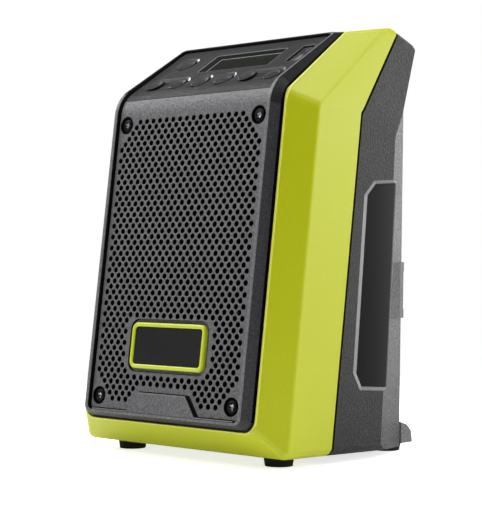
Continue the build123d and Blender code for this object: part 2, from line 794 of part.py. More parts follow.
def make_control_board():
    full = Pos((board_left + board_right) / 2, (board_low + board_step) / 2) * Rectangle(
        board_right - board_left, board_step - board_low)
    upper = Pos((board_left + board_notch) / 2, (board_low + deck_length - board_margin) / 2) * Rectangle(
        board_notch - board_left, deck_length - board_margin - board_low)
    board = on_deck_at(0, 0, board_top - board_thick) * extrude(full + upper, board_thick)
    for x, up in board_posts:
        board -= on_deck_at(x, up, board_top) * Cylinder(board_screw_radius + screw_fit, 4 * board_thick)
    return board


def make_tact_switches():
    body = Box(switch_side, switch_side, switch_height, align=upward)
    body += Pos(0, 0, switch_height) * Cylinder(switch_button_radius, switch_button_height, align=upward)
    places = list(keys_at.values())
    places += [(x + side, key_row) for x in rockers_at.values() for side in (-lobe_reach, lobe_reach)]
    return group([on_deck_at(x, up, board_top) * body for x, up in places])


def make_usb_socket():
    outer = RectangleRounded(usb_short, usb_long, 2 * usb_shell)
    inner = RectangleRounded(usb_short - 2 * usb_shell, usb_long - 2 * usb_shell, usb_shell)
    shell = Pos(0, 0, -usb_sink - usb_depth) * extrude(outer - inner, usb_depth)
    shell += Pos(0, 0, -usb_sink - usb_depth) * extrude(outer, usb_shell)
    return on_deck_at(usb_x, usb_up) * shell


def make_usb_tongue():
    low = -usb_sink - usb_depth + usb_shell
    return on_deck_at(usb_x + usb_tongue_offset, usb_up, low) * Box(
        usb_tongue_thick, usb_tongue_long, usb_depth - usb_shell - usb_tongue_sink, align=upward)


def make_usb_board():
    board = Pos((usb_board_left + usb_board_right) / 2, usb_up) * Rectangle(usb_board_right - usb_board_left,
                                                                          usb_board_tall)
    board = on_deck_at(0, 0, usb_board_top - board_thick) * extrude(board, board_thick)
    for up in usb_posts_up:
        board -= on_deck_at(usb_post_x, up, usb_board_top) * Cylinder(board_screw_radius + screw_fit,
                                                                      4 * board_thick)
    return board


def small_screw(length):
    """Screw of the boards, the loudspeaker and the dock, six-sided because none of them shows."""
    head = extrude(RegularPolygon(board_screw_head, 6), board_screw_head / 2)
    return head + Pos(0, 0, -length) * extrude(RegularPolygon(board_screw_radius, 6), length + TOUCH)


def make_board_screws():
    screw = Rot(180, 0, 0) * small_screw(board_screw_length)
    places = [(x, up, board_top) for x, up in board_posts]
    places += [(usb_post_x, up, usb_board_top) for up in usb_posts_up]
    return group([on_deck_at(x, up, out - board_thick) * screw for x, up, out in places])


# ================================================================ loudspeaker
speaker_seat = seat_depth + baffle + gasket_thick
speaker_axis = face_plane * Pos(0, -speaker_below, -speaker_seat)
speaker_screws_at = [(x, y) for x in (-speaker_screw_offset, speaker_screw_offset)
                     for y in (-speaker_screw_offset, speaker_screw_offset)]
neck_r = coil_radius + coil_sheet + running_gap
cone_edge = baffle_hole - surround_width
cone_neck_z = -speaker_cone_depth
basket_floor = -speaker_depth + magnet_thick + 2 * yoke_thick


def turned(*points):
    """Solid turned about the speaker axis from (radius, height) points."""
    return speaker_axis * revolve(Plane.XZ * Polygon(*points, align=None), Axis.Z)


def make_speaker_gasket():
    outer = baffle_hole + gasket_wide
    return turned((baffle_hole, 0), (outer, 0), (outer, gasket_thick), (baffle_hole, gasket_thick))


def make_speaker_basket():
    rim = baffle_hole - running_gap
    foot = magnet_radius
    hole = coil_radius + coil_sheet + 2 * running_gap
    basket = turned((rim - basket_sheet, -basket_sheet), (rim, 0), (speaker_radius, 0),
                    (speaker_radius, -basket_sheet), (rim, -basket_sheet),
                    (foot + basket_sheet, basket_floor), (hole, basket_floor),
                    (hole, basket_floor + basket_sheet), (foot, basket_floor + basket_sheet))
    window = speaker_axis * Pos(0, 0, (basket_floor - basket_sheet) / 2)
    for turn in range(basket_windows):
        slot = Rot(0, 0, turn * 360 / basket_windows) * Pos((rim + foot) / 2, 0, 0)
        basket -= window * slot * Box(2 * (rim - foot), basket_window_wide, -basket_floor / 2)
    for x, y in speaker_screws_at:
        basket -= speaker_axis * Pos(x, y, 0) * Cylinder(board_screw_radius + screw_fit, 4 * basket_sheet)
    return basket


def make_speaker_cone():
    return turned((cone_edge, 0), (cone_edge, -cone_sheet),
                  (neck_r, cone_neck_z - cone_sheet), (neck_r, cone_neck_z))


def make_speaker_surround():
    """Folded ring between the cone and the rim of the basket."""
    middle = (cone_edge + baffle_hole) / 2
    foot = surround_width / 2 - running_gap
    top = foot / 2
    return turned((middle - foot, 0), (middle - top, surround_rise), (middle + top, surround_rise),
                  (middle + foot, 0), (middle + foot - cone_sheet, 0),
                  (middle + top - cone_sheet / 2, surround_rise - cone_sheet),
                  (middle - top + cone_sheet / 2, surround_rise - cone_sheet),
                  (middle - foot + cone_sheet, 0))


def make_speaker_dust_cap():
    low = cone_neck_z + running_gap
    return turned((0, low), (neck_r, low), (neck_r / 2, low + cap_rise), (0, low + cap_rise))


def make_voice_coil():
    return turned((coil_radius, cone_neck_z), (coil_radius + coil_sheet, cone_neck_z),
                  (coil_radius + coil_sheet, basket_floor - yoke_thick - coil_reach),
                  (coil_radius, basket_floor - yoke_thick - coil_reach))


def make_speaker_front_plate():
    gap_radius = coil_radius + coil_sheet + running_gap
    return turned((gap_radius, basket_floor), (yoke_radius, basket_floor),
                  (yoke_radius, basket_floor - yoke_thick), (gap_radius, basket_floor - yoke_thick))


def make_speaker_magnet():
    top = basket_floor - yoke_thick
    bore = coil_radius + coil_sheet + 2 * running_gap
    low = top - magnet_thick
    return turned((bore, top), (magnet_radius, top), (magnet_radius, low), (bore, low))


def make_speaker_yoke():
    top = basket_floor
    low = -speaker_depth
    pole = coil_radius - running_gap
    return turned((0, top), (pole, top), (pole, low + yoke_thick), (yoke_radius, low + yoke_thick),
                  (yoke_radius, low), (0, low))


def make_speaker_screws():
    screw = Rot(180, 0, 0) * small_screw(speaker_screw_length)
    return group([speaker_axis * Pos(x, y, -basket_sheet) * screw for x, y in speaker_screws_at])


# ================================================================ the two housings
def along_y(x, start, end, height, radius):
    """Round bar along Y."""
    return Pos(x, (start + end) / 2, height) * Rot(90, 0, 0) * Cylinder(radius, end - start)


def make_front_housing():
    """Front shell with the bezel's pocket, the speaker baffle and the bosses of all front screws."""
    front = before_seam(-seam_gap / 2)
    behind_baffle = side_slab(bent_strip(BIG / 4, -seat_depth - baffle, -face_length - BIG / 4,
                                         deck_length + BIG / 4), BIG / 2)
    shell = (outer_form & front) - (cavity - behind_baffle)
    for x, height in housing_screws_at:
        boss = along_y(x, -BIG, seam_y(height), height, housing_boss) & outer_form & front
        shell += boss - behind_baffle
    for x, up in grille_screws_at:
        shell += on_pattern(x, up, -grille_boss_depth) * Cylinder(boss_radius, grille_boss_depth - seat_depth,
                                                                  align=upward)
    shell -= bezel_envelope(BIG, bezel_fit)
    for x, up in grille_screws_at:
        boss_top = Cylinder(boss_radius, seat_depth + TOUCH - panel_thick, align=upward)
        shell += on_pattern(x, up, -seat_depth - TOUCH) * boss_top
        bore = Cylinder(screw_shank_radius + screw_fit, grille_boss_depth, align=upward)
        shell -= on_pattern(x, up, -grille_boss_depth + wall) * bore
    shell -= speaker_axis * Cylinder(baffle_hole, 4 * speaker_seat)
    grip = speaker_screw_length - gasket_thick - basket_sheet + 2 * TOUCH
    for x, y in speaker_screws_at:
        bore = Cylinder(board_screw_radius + screw_fit, grip, align=upward)
        shell -= speaker_axis * Pos(x, y, gasket_thick - TOUCH) * bore
    deck_open_high = deck_length - deck_open_margin
    opening = Box(2 * deck_open_half, deck_open_high - deck_open_low, 4 * speaker_seat)
    shell -= on_deck_at(0, (deck_open_low + deck_open_high) / 2) * opening
    for x, height in housing_screws_at:
        start = seam_y(height) - housing_screw_grip
        shell -= along_y(x, start, BIG, height, housing_screw_radius + screw_fit)
    shell -= foot_recess(front_foot_y, front_foot_height)
    return shell


def foot_recess(y, tall):
    recess = Cylinder(foot_radius + foot_fit, tall, align=upward)
    return Pos(-foot_x, y, 0) * recess + Pos(foot_x, y, 0) * recess


def landing_block(grow):
    """Block behind the flat landing for the battery pack, measured on the dock's rear face."""
    tall = landing_high - landing_low + 2 * grow
    return rear_plane * Pos(0, (landing_high + landing_low) / 2 - floor_gap, 0) * Box(
        2 * (landing_half_width + grow), tall, 2 * (landing_depth + grow))


def socket_prism(grow, deep):
    """Bar with the section of the battery stem, from the dock's rear face inwards."""
    section = RectangleRounded(socket_width + 2 * grow, socket_tall + 2 * grow, socket_round + grow)
    return rear_plane * Pos(0, socket_height - floor_gap, -deep) * extrude(section, deep + landing_depth)


def inlay_outline(inset):
    """Side view of the inlay; behind it runs past the rear crease."""
    crease_angle = degrees(atan2(neck_height - floor_gap, neck_depth - base_rear))
    top_rear_point = meet(inlay_top, inlay_top_slope, (neck_depth + inlay_wrap, neck_height), crease_angle)
    low_rear_point = meet(inlay_low, inlay_low_slope, (neck_depth + inlay_wrap, neck_height), crease_angle)
    outline = Polygon(inlay_front_low, inlay_front_top, inlay_top, top_rear_point, low_rear_point, inlay_low,
                      align=None)
    return offset(outline, -inset, kind=Kind.INTERSECTION) if inset else outline


def inlay_prism(start, end, inset, taper):
    """Prism of the inlay's side view, from one X to another, on the right side."""
    return Plane.YZ.offset(start) * extrude(inlay_outline(inset), end - start, dir=(0, 0, 1), taper=taper)


def make_rear_housing():
    """Rear shell with the tongue of the seam, the battery landing, the lugs and all inner posts."""
    front = before_seam(seam_gap / 2)
    shell = (outer_form - cavity) - front
    tongue_outer = housing_form(wall + tongue_fit)
    tongue_inner = housing_form(wall + tongue_fit + tongue_wall)
    root = before_seam(seam_gap / 2 + tongue_reach)
    tongue = (tongue_outer - tongue_inner) & root - before_seam(-tongue_reach)
    shell += tongue
    shell += ((cavity - tongue_inner) & root) - before_seam(seam_gap / 2 + TOUCH)
    shell += landing_block(wall) & outer_form
    for x, height in housing_screws_at:
        boss = along_y(x, seam_y(height) + seam_gap / 2, dock_depth, height, housing_boss + wall / 2)
        shell += boss & outer_form
    for x, height in main_board_posts:
        shell += along_y(x, main_board_y + board_thick, dock_depth - wall, height, post_radius) & outer_form
    for x in (-antenna_clip_x, antenna_clip_x):
        clip = Pos(x, antenna_y + BIG / 4, antenna_height) * Box(antenna_clip, BIG / 2, 2 * antenna_clip_tall)
        shell += Pos(x, 0, 0) * (clip.moved(Pos(-x, 0, 0)) & outer_form.moved(Pos(-x, 0, 0)))
    lug = [(dock_depth - lug_root, lug_bottom), (dock_depth + lug_depth, lug_bottom),
           (dock_depth + lug_depth - lug_nose, lug_top - lug_shoulder),
           (dock_depth + lug_depth / 2, lug_top - lug_brow), (dock_depth - lug_root / 2, lug_top)]
    lug_block = Plane.YZ.offset(lug_inner) * extrude(Polygon(*lug, align=None), lug_half_width - lug_inner)
    shell += lug_block
    shell += mirror(lug_block, Plane.YZ)
    pads = form_part(dock_outline, [head_side, rear_flank], -latch_proud)
    pad_zone = rear_plane * Pos(0, socket_height - floor_gap, -latch_width / 2 - latch_proud)
    pad_zone *= Box(body_width, 2 * latch_half_height, latch_width) - Box(2 * latch_inner, BIG, BIG)
    shell += (pads & pad_zone) - cavity
    # cuts
    shell -= landing_block(0)
    shell -= socket_prism(socket_wall + panel_fit, socket_depth + BIG / 4)
    catch = rear_plane * Pos(0, socket_height - floor_gap, 0) * (
        Box(BIG, 2 * catch_half_height, 2 * catch_depth) - Box(2 * catch_inner, BIG, BIG))
    shell -= catch
    for x, height in housing_screws_at:
        seat = seam_y(height) + housing_screw_seat
        shell -= along_y(x, seat, BIG, height, housing_screw_head + screw_fit)
        shell -= along_y(x, 0, BIG / 4, height, housing_screw_radius + screw_fit)
    for x, height in main_board_posts:
        shell -= along_y(x, 0, main_board_y + board_thick + board_screw_length, height,
                         board_screw_radius + screw_fit)
    for x, up in dock_screws_at:
        shell -= rear_plane * Pos(x, up, -landing_depth - wall - 1) * Cylinder(
            board_screw_radius + screw_fit, BIG / 8, align=upward)
    shell -= along_x(antenna_clip_x + antenna_clip, antenna_y, antenna_height, antenna_radius + screw_fit)
    shell -= inlay_prism(half_width - inlay_depth, half_width + inlay_depth, 0, -inlay_taper)
    shell -= foot_recess(rear_foot_y, rear_foot_height)
    return shell


def along_x(half, y, height, radius):
    return Pos(0, y, height) * Rot(0, 90, 0) * Cylinder(radius, 2 * half)


def make_battery_dock():
    """Box that takes the stem of the battery pack, with a flange behind the landing."""
    top = -landing_depth - wall
    inside = socket_prism(0, socket_depth)
    outside = socket_prism(socket_wall, socket_depth + socket_wall)
    flange = Pos(0, socket_height - floor_gap, top - flange_thick)
    flange *= extrude(RectangleRounded(socket_width + 2 * flange_wide, socket_tall + 2 * flange_wide,
                                       socket_round), flange_thick)
    dock = outside + rear_plane * flange
    dock = cut_beyond(dock, rear_plane.offset(-landing_depth))
    dock -= inside
    for slot in blade_places():
        dock -= slot * Box(blade_wide + 2 * blade_fit, blade_thick + 2 * blade_fit, BIG / 2)
    for x, up in dock_screws_at:
        dock -= rear_plane * Pos(x, up, top) * Cylinder(board_screw_radius + screw_fit, 4 * flange_thick)
    return dock


def blade_places():
    """Places of the terminal blades on the socket's end wall."""
    return [rear_plane * Pos(0, socket_height - floor_gap + step * blade_pitch, -socket_depth)
            for step in (-1, 0, 1)]


def make_terminal_block():
    tall = 2 * blade_pitch + 2 * blade_wide / 2
    block = rear_plane * Pos(0, socket_height - floor_gap, -socket_depth) * Box(
        blade_wide + 2 * socket_wall, tall, block_deep, align=upward)
    for slot in blade_places():
        block -= slot * Box(blade_wide + 2 * blade_fit, blade_thick + 2 * blade_fit, BIG / 2)
    return block


def make_terminal_blades():
    blade = Pos(0, 0, -socket_wall - blade_tail) * Box(blade_wide, blade_thick,
                                                       blade_long + socket_wall + blade_tail, align=upward)
    return group([place * blade for place in blade_places()])


def make_dock_screws():
    screw = Rot(180, 0, 0) * small_screw(flange_thick + wall - screw_fit)
    depth = -landing_depth - wall - flange_thick
    return group([rear_plane * Pos(x, up, depth) * screw for x, up in dock_screws_at])


def make_housing_screws():
    screws = []
    for x, height in housing_screws_at:
        length = housing_screw_seat + housing_screw_grip - 2 * screw_fit
        screw = headed_screw(housing_screw_head, housing_screw_head, housing_screw_radius, length)
        screws.append(Pos(x, seam_y(height) + housing_screw_seat, height) * Rot(-90, 0, 0) * screw)
    return group(screws)


def make_feet(y, tall):
    foot = Cone(foot_radius - foot_taper, foot_radius, tall, align=upward)
    return group([Pos(x, y, 0) * foot for x in (-foot_x, foot_x)])


def make_side_inlay():
    plate = inlay_prism(half_width - inlay_depth, half_width - inlay_depth + inlay_thick, inlay_fit, 0)
    return cut_beyond(plate, rear_flank.offset(-inlay_fit))


# ================================================================ electronics in the rear housing
main_board_posts = [(x, height) for x in (-main_board_half, main_board_half)
                    for height in (main_post_low, main_post_high)]


def make_main_board():
    wide = 2 * (main_board_half + post_radius)
    board = Pos(0, main_board_y + board_thick / 2, (main_board_low + main_board_high) / 2) * Box(
        wide, board_thick, main_board_high - main_board_low)
    for x, height in main_board_posts:
        board -= along_y(x, main_board_y - board_thick, main_board_y + 2 * board_thick, height,
                         board_screw_radius + screw_fit)
    return board


def make_main_board_screws():
    screw = Rot(90, 0, 0) * small_screw(board_screw_length)
    return group([Pos(x, main_board_y, height) * screw for x, height in main_board_posts])


def make_heatsink():
    """Finned cooler of the amplifier, on the front of the main board."""
    sink = Box(fin_pitch * fin_count, fin_base, sink_tall)
    for fin in range(fin_count):
        x = (fin - (fin_count - 1) / 2) * fin_pitch
        sink += Pos(x, -(fin_base + fin_deep) / 2, 0) * Box(fin_thick, fin_deep, sink_tall)
    return Pos(-sink_x, main_board_y - fin_base / 2, sink_height) * sink


def make_capacitors():
    cans = []
    for index in range(capacitor_count):
        x = sink_x + (index - (capacitor_count - 1) / 2) * capacitor_pitch
        cans.append(along_y(x, main_board_y - capacitor_tall, main_board_y, sink_height, capacitor_radius))
    return group(cans)


def make_antenna_rod():
    return along_x(antenna_half, antenna_y, antenna_height, antenna_radius)


def make_antenna_coil():
    outer = along_x(antenna_coil_half, antenna_y, antenna_height, antenna_radius + antenna_wire)
    return outer - along_x(antenna_half, antenna_y, antenna_height, antenna_radius + running_gap / 4)


# ================================================================ assembly
parts = {
    "front_housing": make_front_housing(),
    "rear_housing": make_rear_housing(),
    "front_bezel": make_front_bezel(),
    "speaker_grille": make_speaker_grille(),
    "grille_cloth": make_grille_cloth(),
    "badge_ring": make_badge_ring(),
    "badge_plate": make_badge_plate(),
    "grille_screws": make_grille_screws(),
    "control_deck": make_control_deck(),
    "display_window": make_display_window(),
    "display_module": make_display_module(),
    "control_board": make_control_board(),
    "tact_switches": make_tact_switches(),
    "usb_socket": make_usb_socket(),
    "usb_tongue": make_usb_tongue(),
    "usb_board": make_usb_board(),
    "board_screws": make_board_screws(),
    "speaker_gasket": make_speaker_gasket(),
    "speaker_basket": make_speaker_basket(),
    "speaker_cone": make_speaker_cone(),
    "speaker_surround": make_speaker_surround(),
    "speaker_dust_cap": make_speaker_dust_cap(),
    "voice_coil": make_voice_coil(),
    "speaker_front_plate": make_speaker_front_plate(),
    "speaker_magnet": make_speaker_magnet(),
    "speaker_yoke": make_speaker_yoke(),
    "speaker_screws": make_speaker_screws(),
    "battery_dock": make_battery_dock(),
    "terminal_block": make_terminal_block(),
    "terminal_blades": make_terminal_blades(),
    "dock_screws": make_dock_screws(),
    "housing_screws": make_housing_screws(),
    "front_feet": make_feet(front_foot_y, front_foot_height),
    "rear_feet": make_feet(rear_foot_y, rear_foot_height),
    "side_inlay": make_side_inlay(),
    "main_board": make_main_board(),
    "main_board_screws": make_main_board_screws(),
    "heatsink": make_heatsink(),
    "capacitors": make_capacitors(),
    "antenna_rod": make_antenna_rod(),
    "antenna_coil": make_antenna_coil(),
}
for name, (x, up) in keys_at.items():
    parts[name] = on_deck_at(x, up) * make_key()
for name, x in rockers_at.items():
    parts[name] = on_deck_at(x, key_row) * make_rocker()

boxes = [shape.bounding_box() for shape in parts.values()]
middle_y = (min(box.min.Y for box in boxes) + max(box.max.Y for box in boxes)) / 2
for name, shape in parts.items():
    export_step(Pos(0, -middle_y, 0) * shape, f"parts/{name}.step")
print("moved forward by", round(middle_y, 4))
pivot = deck_plane.from_local_coords((0, key_row, pivot_depth))
print("rocker pivot line at Y", round(pivot.Y - middle_y, 4), "Z", round(pivot.Z, 4))
socket_middle = rear_plane.from_local_coords((0, socket_height - floor_gap, -landing_depth))
print("socket mouth at Y", round(socket_middle.Y - middle_y, 3), "Z", round(socket_middle.Z, 3))
print("parts", len(parts))
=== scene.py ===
# %% [markdown]
# # Dressing a compact jobsite radio
# The radio is a raked wedge: a bright lime front shell, a dark rear shell with a battery dock,
# a perforated speaker grille and a sloping control deck with round keys.
# Its exact sizes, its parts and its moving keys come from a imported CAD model.
# This lesson loads that model, keeps the parts whose shape is already right, rebuilds the ones
# that need finer detail, and gives every surface a finish of its own.

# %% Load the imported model
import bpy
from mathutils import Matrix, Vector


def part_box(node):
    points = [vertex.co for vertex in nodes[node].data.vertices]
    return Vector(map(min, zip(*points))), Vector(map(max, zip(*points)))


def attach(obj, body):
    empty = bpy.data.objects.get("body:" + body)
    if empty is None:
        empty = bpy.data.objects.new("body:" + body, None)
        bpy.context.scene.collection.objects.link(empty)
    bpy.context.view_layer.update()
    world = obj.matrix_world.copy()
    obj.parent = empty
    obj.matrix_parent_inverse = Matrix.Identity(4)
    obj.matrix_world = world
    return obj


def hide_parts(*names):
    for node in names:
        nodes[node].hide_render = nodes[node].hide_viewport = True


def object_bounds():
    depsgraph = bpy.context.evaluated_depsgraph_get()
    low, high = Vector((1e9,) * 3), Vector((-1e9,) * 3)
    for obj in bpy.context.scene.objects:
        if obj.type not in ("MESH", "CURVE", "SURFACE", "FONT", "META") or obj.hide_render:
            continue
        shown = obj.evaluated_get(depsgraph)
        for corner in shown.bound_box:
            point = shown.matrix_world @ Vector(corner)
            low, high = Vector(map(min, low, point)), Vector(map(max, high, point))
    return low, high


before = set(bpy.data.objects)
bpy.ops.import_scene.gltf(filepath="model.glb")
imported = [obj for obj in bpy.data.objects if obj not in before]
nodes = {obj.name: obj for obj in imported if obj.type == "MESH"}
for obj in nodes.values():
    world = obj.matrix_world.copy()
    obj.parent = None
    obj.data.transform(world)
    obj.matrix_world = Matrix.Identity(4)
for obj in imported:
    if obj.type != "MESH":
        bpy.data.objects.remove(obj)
cad_low, cad_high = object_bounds()

# %% [markdown]
# ## Units and tools
# Blender works in metres, and the radio was drawn in millimetres, so one constant converts
# every size that we write down. The other imports are Blender's own mesh and vector tools.

# %% Imports and units
from math import asin, atan2, cos, degrees, pi, radians, sin, sqrt, tan

import bpy
from mathutils import Matrix, Vector
from mathutils.geometry import delaunay_2d_cdt

MM = 0.001
WHITE = (1, 1, 1, 1)
scene = bpy.context.scene
print("one millimetre is", MM, "metres")

# %% [markdown]
# ## The camera
# A product like this is usually taken with a long lens from its front right corner, at half its
# own height and with the camera level, so that its upright edges stay parallel.
# A long lens far away keeps the far side nearly as large as the near side.

# %% Camera
camera_data = bpy.data.cameras.new("camera")
camera_data.lens = 108.85
camera_data.sensor_width = 36.0
camera_data.clip_start = 0.05
camera_data.clip_end = 20.0
camera = bpy.data.objects.new("camera", camera_data)
camera.location = (0.45106, -0.48556, 0.08380)
camera.rotation_euler = (radians(90), 0, radians(43.0949))
scene.collection.objects.link(camera)
scene.camera = camera
scene.view_settings.view_transform = "Standard"
print("camera stands", round(camera.location.length, 3), "m from the radio")

# %% [markdown]
# ## Trees of nodes
# The world, the floor and every material are trees of nodes. A few helpers build them: one makes
# a node with its settings and numbers filled in, one links other nodes to its inputs in order,
# and two more do arithmetic and mix shaders.

# %% Node tools
def add_node(tree, kind, inputs=None, **settings):
    """New shader node with some of its settings and inputs filled in."""
    node = tree.nodes.new("ShaderNode" + kind)
    for attribute, value in settings.items():
        setattr(node, attribute, value)
    for label, value in (inputs or {}).items():
        node.inputs[label].default_value = value
    return node


def feed(tree, node, *sources):
    """Links outputs to a node's inputs in order and returns its first output."""
    for source, socket in zip(sources, node.inputs):
        tree.links.new(source, socket)
    return node.outputs[0] if node.outputs else None


def add_math(tree, operation, *values):
    """Output of a Math node; each value is a number or another output."""
    node = add_node(tree, "Math", operation=operation)
    for socket, value in zip(node.inputs, values):
        if isinstance(value, (int, float)):
            socket.default_value = value
        else:
            tree.links.new(value, socket)
    return node.outputs[0]


def mix_shaders(tree, factor, first, second):
    """Output of a node that mixes two shaders."""
    return feed(tree, add_node(tree, "MixShader"), factor, first, second)


def empty_tree(owner):
    """Cleared node tree of a material or a world."""
    owner.use_nodes = True
    owner.node_tree.nodes.clear()
    return owner.node_tree


print("node tools ready")

# %% [markdown]
# ## The studio
# The radio stands on a plain pale floor in soft light. The world is white where the camera or a
# ray through glass looks at it, but it lights the radio only a little, so that the lamps decide
# what is bright and what is dark.

# %% World
scene.world = bpy.data.worlds.new("studio")
tree = empty_tree(scene.world)
paths = add_node(tree, "LightPath").outputs
seen = add_math(tree, "MAXIMUM", paths["Is Camera Ray"], paths["Is Transmission Ray"])
fill = add_node(tree, "Background", {"Color": (0.93, 0.96, 1.0, 1), "Strength": 0.04})
white = add_node(tree, "Background", {"Color": WHITE, "Strength": 1.0})
feed(tree, add_node(tree, "OutputWorld"), mix_shaders(tree, seen, fill.outputs[0], white.outputs[0]))
print("world ready")

# %% [markdown]
# ## Lamps
# Each lamp is a rectangle that faces the middle of the radio. Large lamps make soft shadows,
# because light reaches a point from many directions at once. Three stand behind: for the right
# side, for its upper edges and for the flank. One at the front left gives the grille its even
# grey sheen, one above lights the deck, and a small one on the left puts glints on the dishes.

# %% Lamps
middle = (cad_low + cad_high) / 2


def soft_lamp(name, direction, distance, size, power):
    """A rectangular lamp that faces the middle of the radio."""
    data = bpy.data.lights.new(name, "AREA")
    data.shape = "RECTANGLE"
    data.size, data.size_y = size
    data.energy = power
    lamp = bpy.data.objects.new(name, data)
    away = Vector(direction).normalized()
    lamp.location = middle + away * distance
    lamp.rotation_euler = away.to_track_quat("Z", "Y").to_euler()
    scene.collection.objects.link(lamp)


soft_lamp("side_lamp", (0.68, 0.73, 0.2), 1.3, (0.9, 0.3), 4.7)
soft_lamp("rear_right_lamp", (0.62, 0.5, 0.75), 1.3, (0.9, 0.9), 6.0)
soft_lamp("rear_lamp", (0.02, 1.0, 0.12), 1.3, (0.7, 0.9), 9.0)
soft_lamp("front_lamp", (-0.68, -0.42, 0.72), 1.4, (0.9, 0.8), 16.0)
soft_lamp("top_lamp", (0.05, 0.0, 1.0), 1.3, (1.1, 1.1), 18.0)
soft_lamp("glint_lamp", (-0.9, 0.26, 0.34), 1.3, (0.34, 0.34), 8.0)
print(len(bpy.data.lights), "lamps")

# %% [markdown]
# ## The floor
# The floor keeps the shadow of the radio, yet looks white to the camera, because most of what
# the camera sees of it is glow. Further out it is pure white, so it joins the background. Other
# rays see plain paper, and from below the floor is clear, so that the feet can be looked at.

# %% Floor
GROUND = 6.0                         # half the floor's width in metres
floor_mesh = bpy.data.meshes.new("floor")
corners = ((-1, -1), (1, -1), (1, 1), (-1, 1))
floor_mesh.from_pydata([(x * GROUND, y * GROUND, 0) for x, y in corners], [], [(0, 1, 2, 3)])
floor = bpy.data.objects.new("floor", floor_mesh)
scene.collection.objects.link(floor)
floor_finish = bpy.data.materials.new("floor_paper")
floor_mesh.materials.append(floor_finish)
tree = empty_tree(floor_finish)


def emission(strength):
    """Output of a white glow."""
    return add_node(tree, "Emission", {"Color": WHITE, "Strength": strength}).outputs[0]


paper = add_node(tree, "BsdfDiffuse", {"Color": (0.86, 0.86, 0.86, 1)}).outputs[0]
from_camera = add_node(tree, "LightPath").outputs["Is Camera Ray"]
from_below = add_node(tree, "NewGeometry").outputs["Backfacing"]
distance = add_node(tree, "VectorMath", operation="LENGTH")
feed(tree, distance, add_node(tree, "TexCoord").outputs["Object"])
far = feed(tree, add_node(tree, "MapRange", {"From Min": 0.12, "From Max": 0.42}), distance.outputs["Value"])
shown = mix_shaders(tree, far, feed(tree, add_node(tree, "AddShader"), paper, emission(0.74)), emission(1.0))
unseen = feed(tree, add_node(tree, "AddShader"), paper, emission(0.14))
above = mix_shaders(tree, from_camera, unseen, shown)
sided = mix_shaders(tree, from_below, above, add_node(tree, "BsdfTransparent").outputs[0])
feed(tree, add_node(tree, "OutputMaterial"), sided)
print("floor of", 2 * GROUND, "m")

# %% [markdown]
# ## Measuring along the skin
# The grille and the deck are one bent sheet: the speaker face leans back a little, the deck
# slopes gently, and a wide round joins them. It is handy to draw on that sheet as if it were
# flat. A place is then three numbers: x to the right, s along the skin upwards from the fold,
# and out, the height above the skin. One function turns them into a point of the radio.

# %% The bent skin
face_rake = radians(7.9)             # the speaker face leans back
deck_rise = radians(32.0)            # the deck's slope
fold_radius = 14.0 * MM
fold_height = 150.4                  # in millimetres, as the next one
face_foot = 4.3                      # height at which the face's line starts
face_ahead = 13.8 * MM               # and this far in front of the drawing's origin
feet_ahead = 12.2 * MM               # middle of the front feet in the drawing
fold_turn = radians(90) - face_rake - deck_rise
fold_reach = fold_radius * tan(fold_turn / 2)
feet_low, feet_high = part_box("front_feet")
moved_forward = feet_ahead - (feet_low.y + feet_high.y) / 2
fold_y = (fold_height - face_foot) * MM * tan(face_rake) - face_ahead / cos(face_rake) - moved_forward
face_up = Vector((0, sin(face_rake), cos(face_rake)))
face_out = Vector((0, -cos(face_rake), sin(face_rake)))
deck_up = Vector((0, cos(deck_rise), sin(deck_rise)))
deck_out = Vector((0, -sin(deck_rise), cos(deck_rise)))
fold_point = Vector((0, fold_y, fold_height * MM))
fold_centre = fold_point - face_up * fold_reach - face_out * fold_radius


def on_skin(x, s, out=0.0):
    """Point of the radio at x, s along the skin and out above it, in metres."""
    if s <= -fold_reach:
        p = fold_point + face_up * s + face_out * out
    elif s >= fold_reach:
        p = fold_point + deck_up * s + deck_out * out
    else:
        tilt = face_rake + (s + fold_reach) / (2 * fold_reach) * fold_turn
        p = fold_centre + Vector((0, -cos(tilt), sin(tilt))) * (fold_radius + out)
    return Vector((x, p.y, p.z))


def skin_frame(x, s, out=0.0):
    """Matrix whose X, Y and Z run to the right, up the skin and out of it."""
    up, outward = (face_up, face_out) if s < 0 else (deck_up, deck_out)
    p = on_skin(x, s, out)
    return Matrix(((1, up.x, outward.x, p.x), (0, up.y, outward.y, p.y),
                   (0, up.z, outward.z, p.z), (0, 0, 0, 1)))


print("fold at", [round(v, 4) for v in on_skin(0, 0)])

# %% [markdown]
# ## Rings
# Nearly every part here is a moulding whose section stays the same along a closed line, so it
# can be drawn as a few rings with the same number of points. These helpers draw round,
# rectangular and turned rings.

# %% Ring helpers
def arc(x, y, radius, start, end, steps=28):
    """Points of an arc between two angles in degrees."""
    turns = [radians(start + (end - start) * k / steps) for k in range(steps + 1)]
    return [(x + radius * cos(turn), y + radius * sin(turn)) for turn in turns]


def lifted(ring, z):
    return [(p[0], p[1], z) for p in ring]


def circle(x, y, radius, count, z=0.0, start=0.0):
    """Ring of points, counter-clockwise."""
    return lifted(arc(x, y, radius, start, start + 360, count)[:-1], z)


def lathe(profile, count, x=0.0, y=0.0):
    """Rings of a turned shape, from (radius, height) pairs in millimetres."""
    return [circle(x, y, radius * MM, count, z * MM) for radius, z in profile]


def rounded_box(half_x, half_y, radius, z=0.0, corner=6, x=0.0, y=0.0):
    """Ring of a rectangle with round corners, counter-clockwise from its right side."""
    ring = []
    for quarter, (sx, sy) in enumerate(((1, 1), (-1, 1), (-1, -1), (1, -1))):
        ring += arc(x + sx * (half_x - radius), y + sy * (half_y - radius), radius,
                    90 * quarter, 90 * quarter + 90, corner)
    return lifted(ring, z)


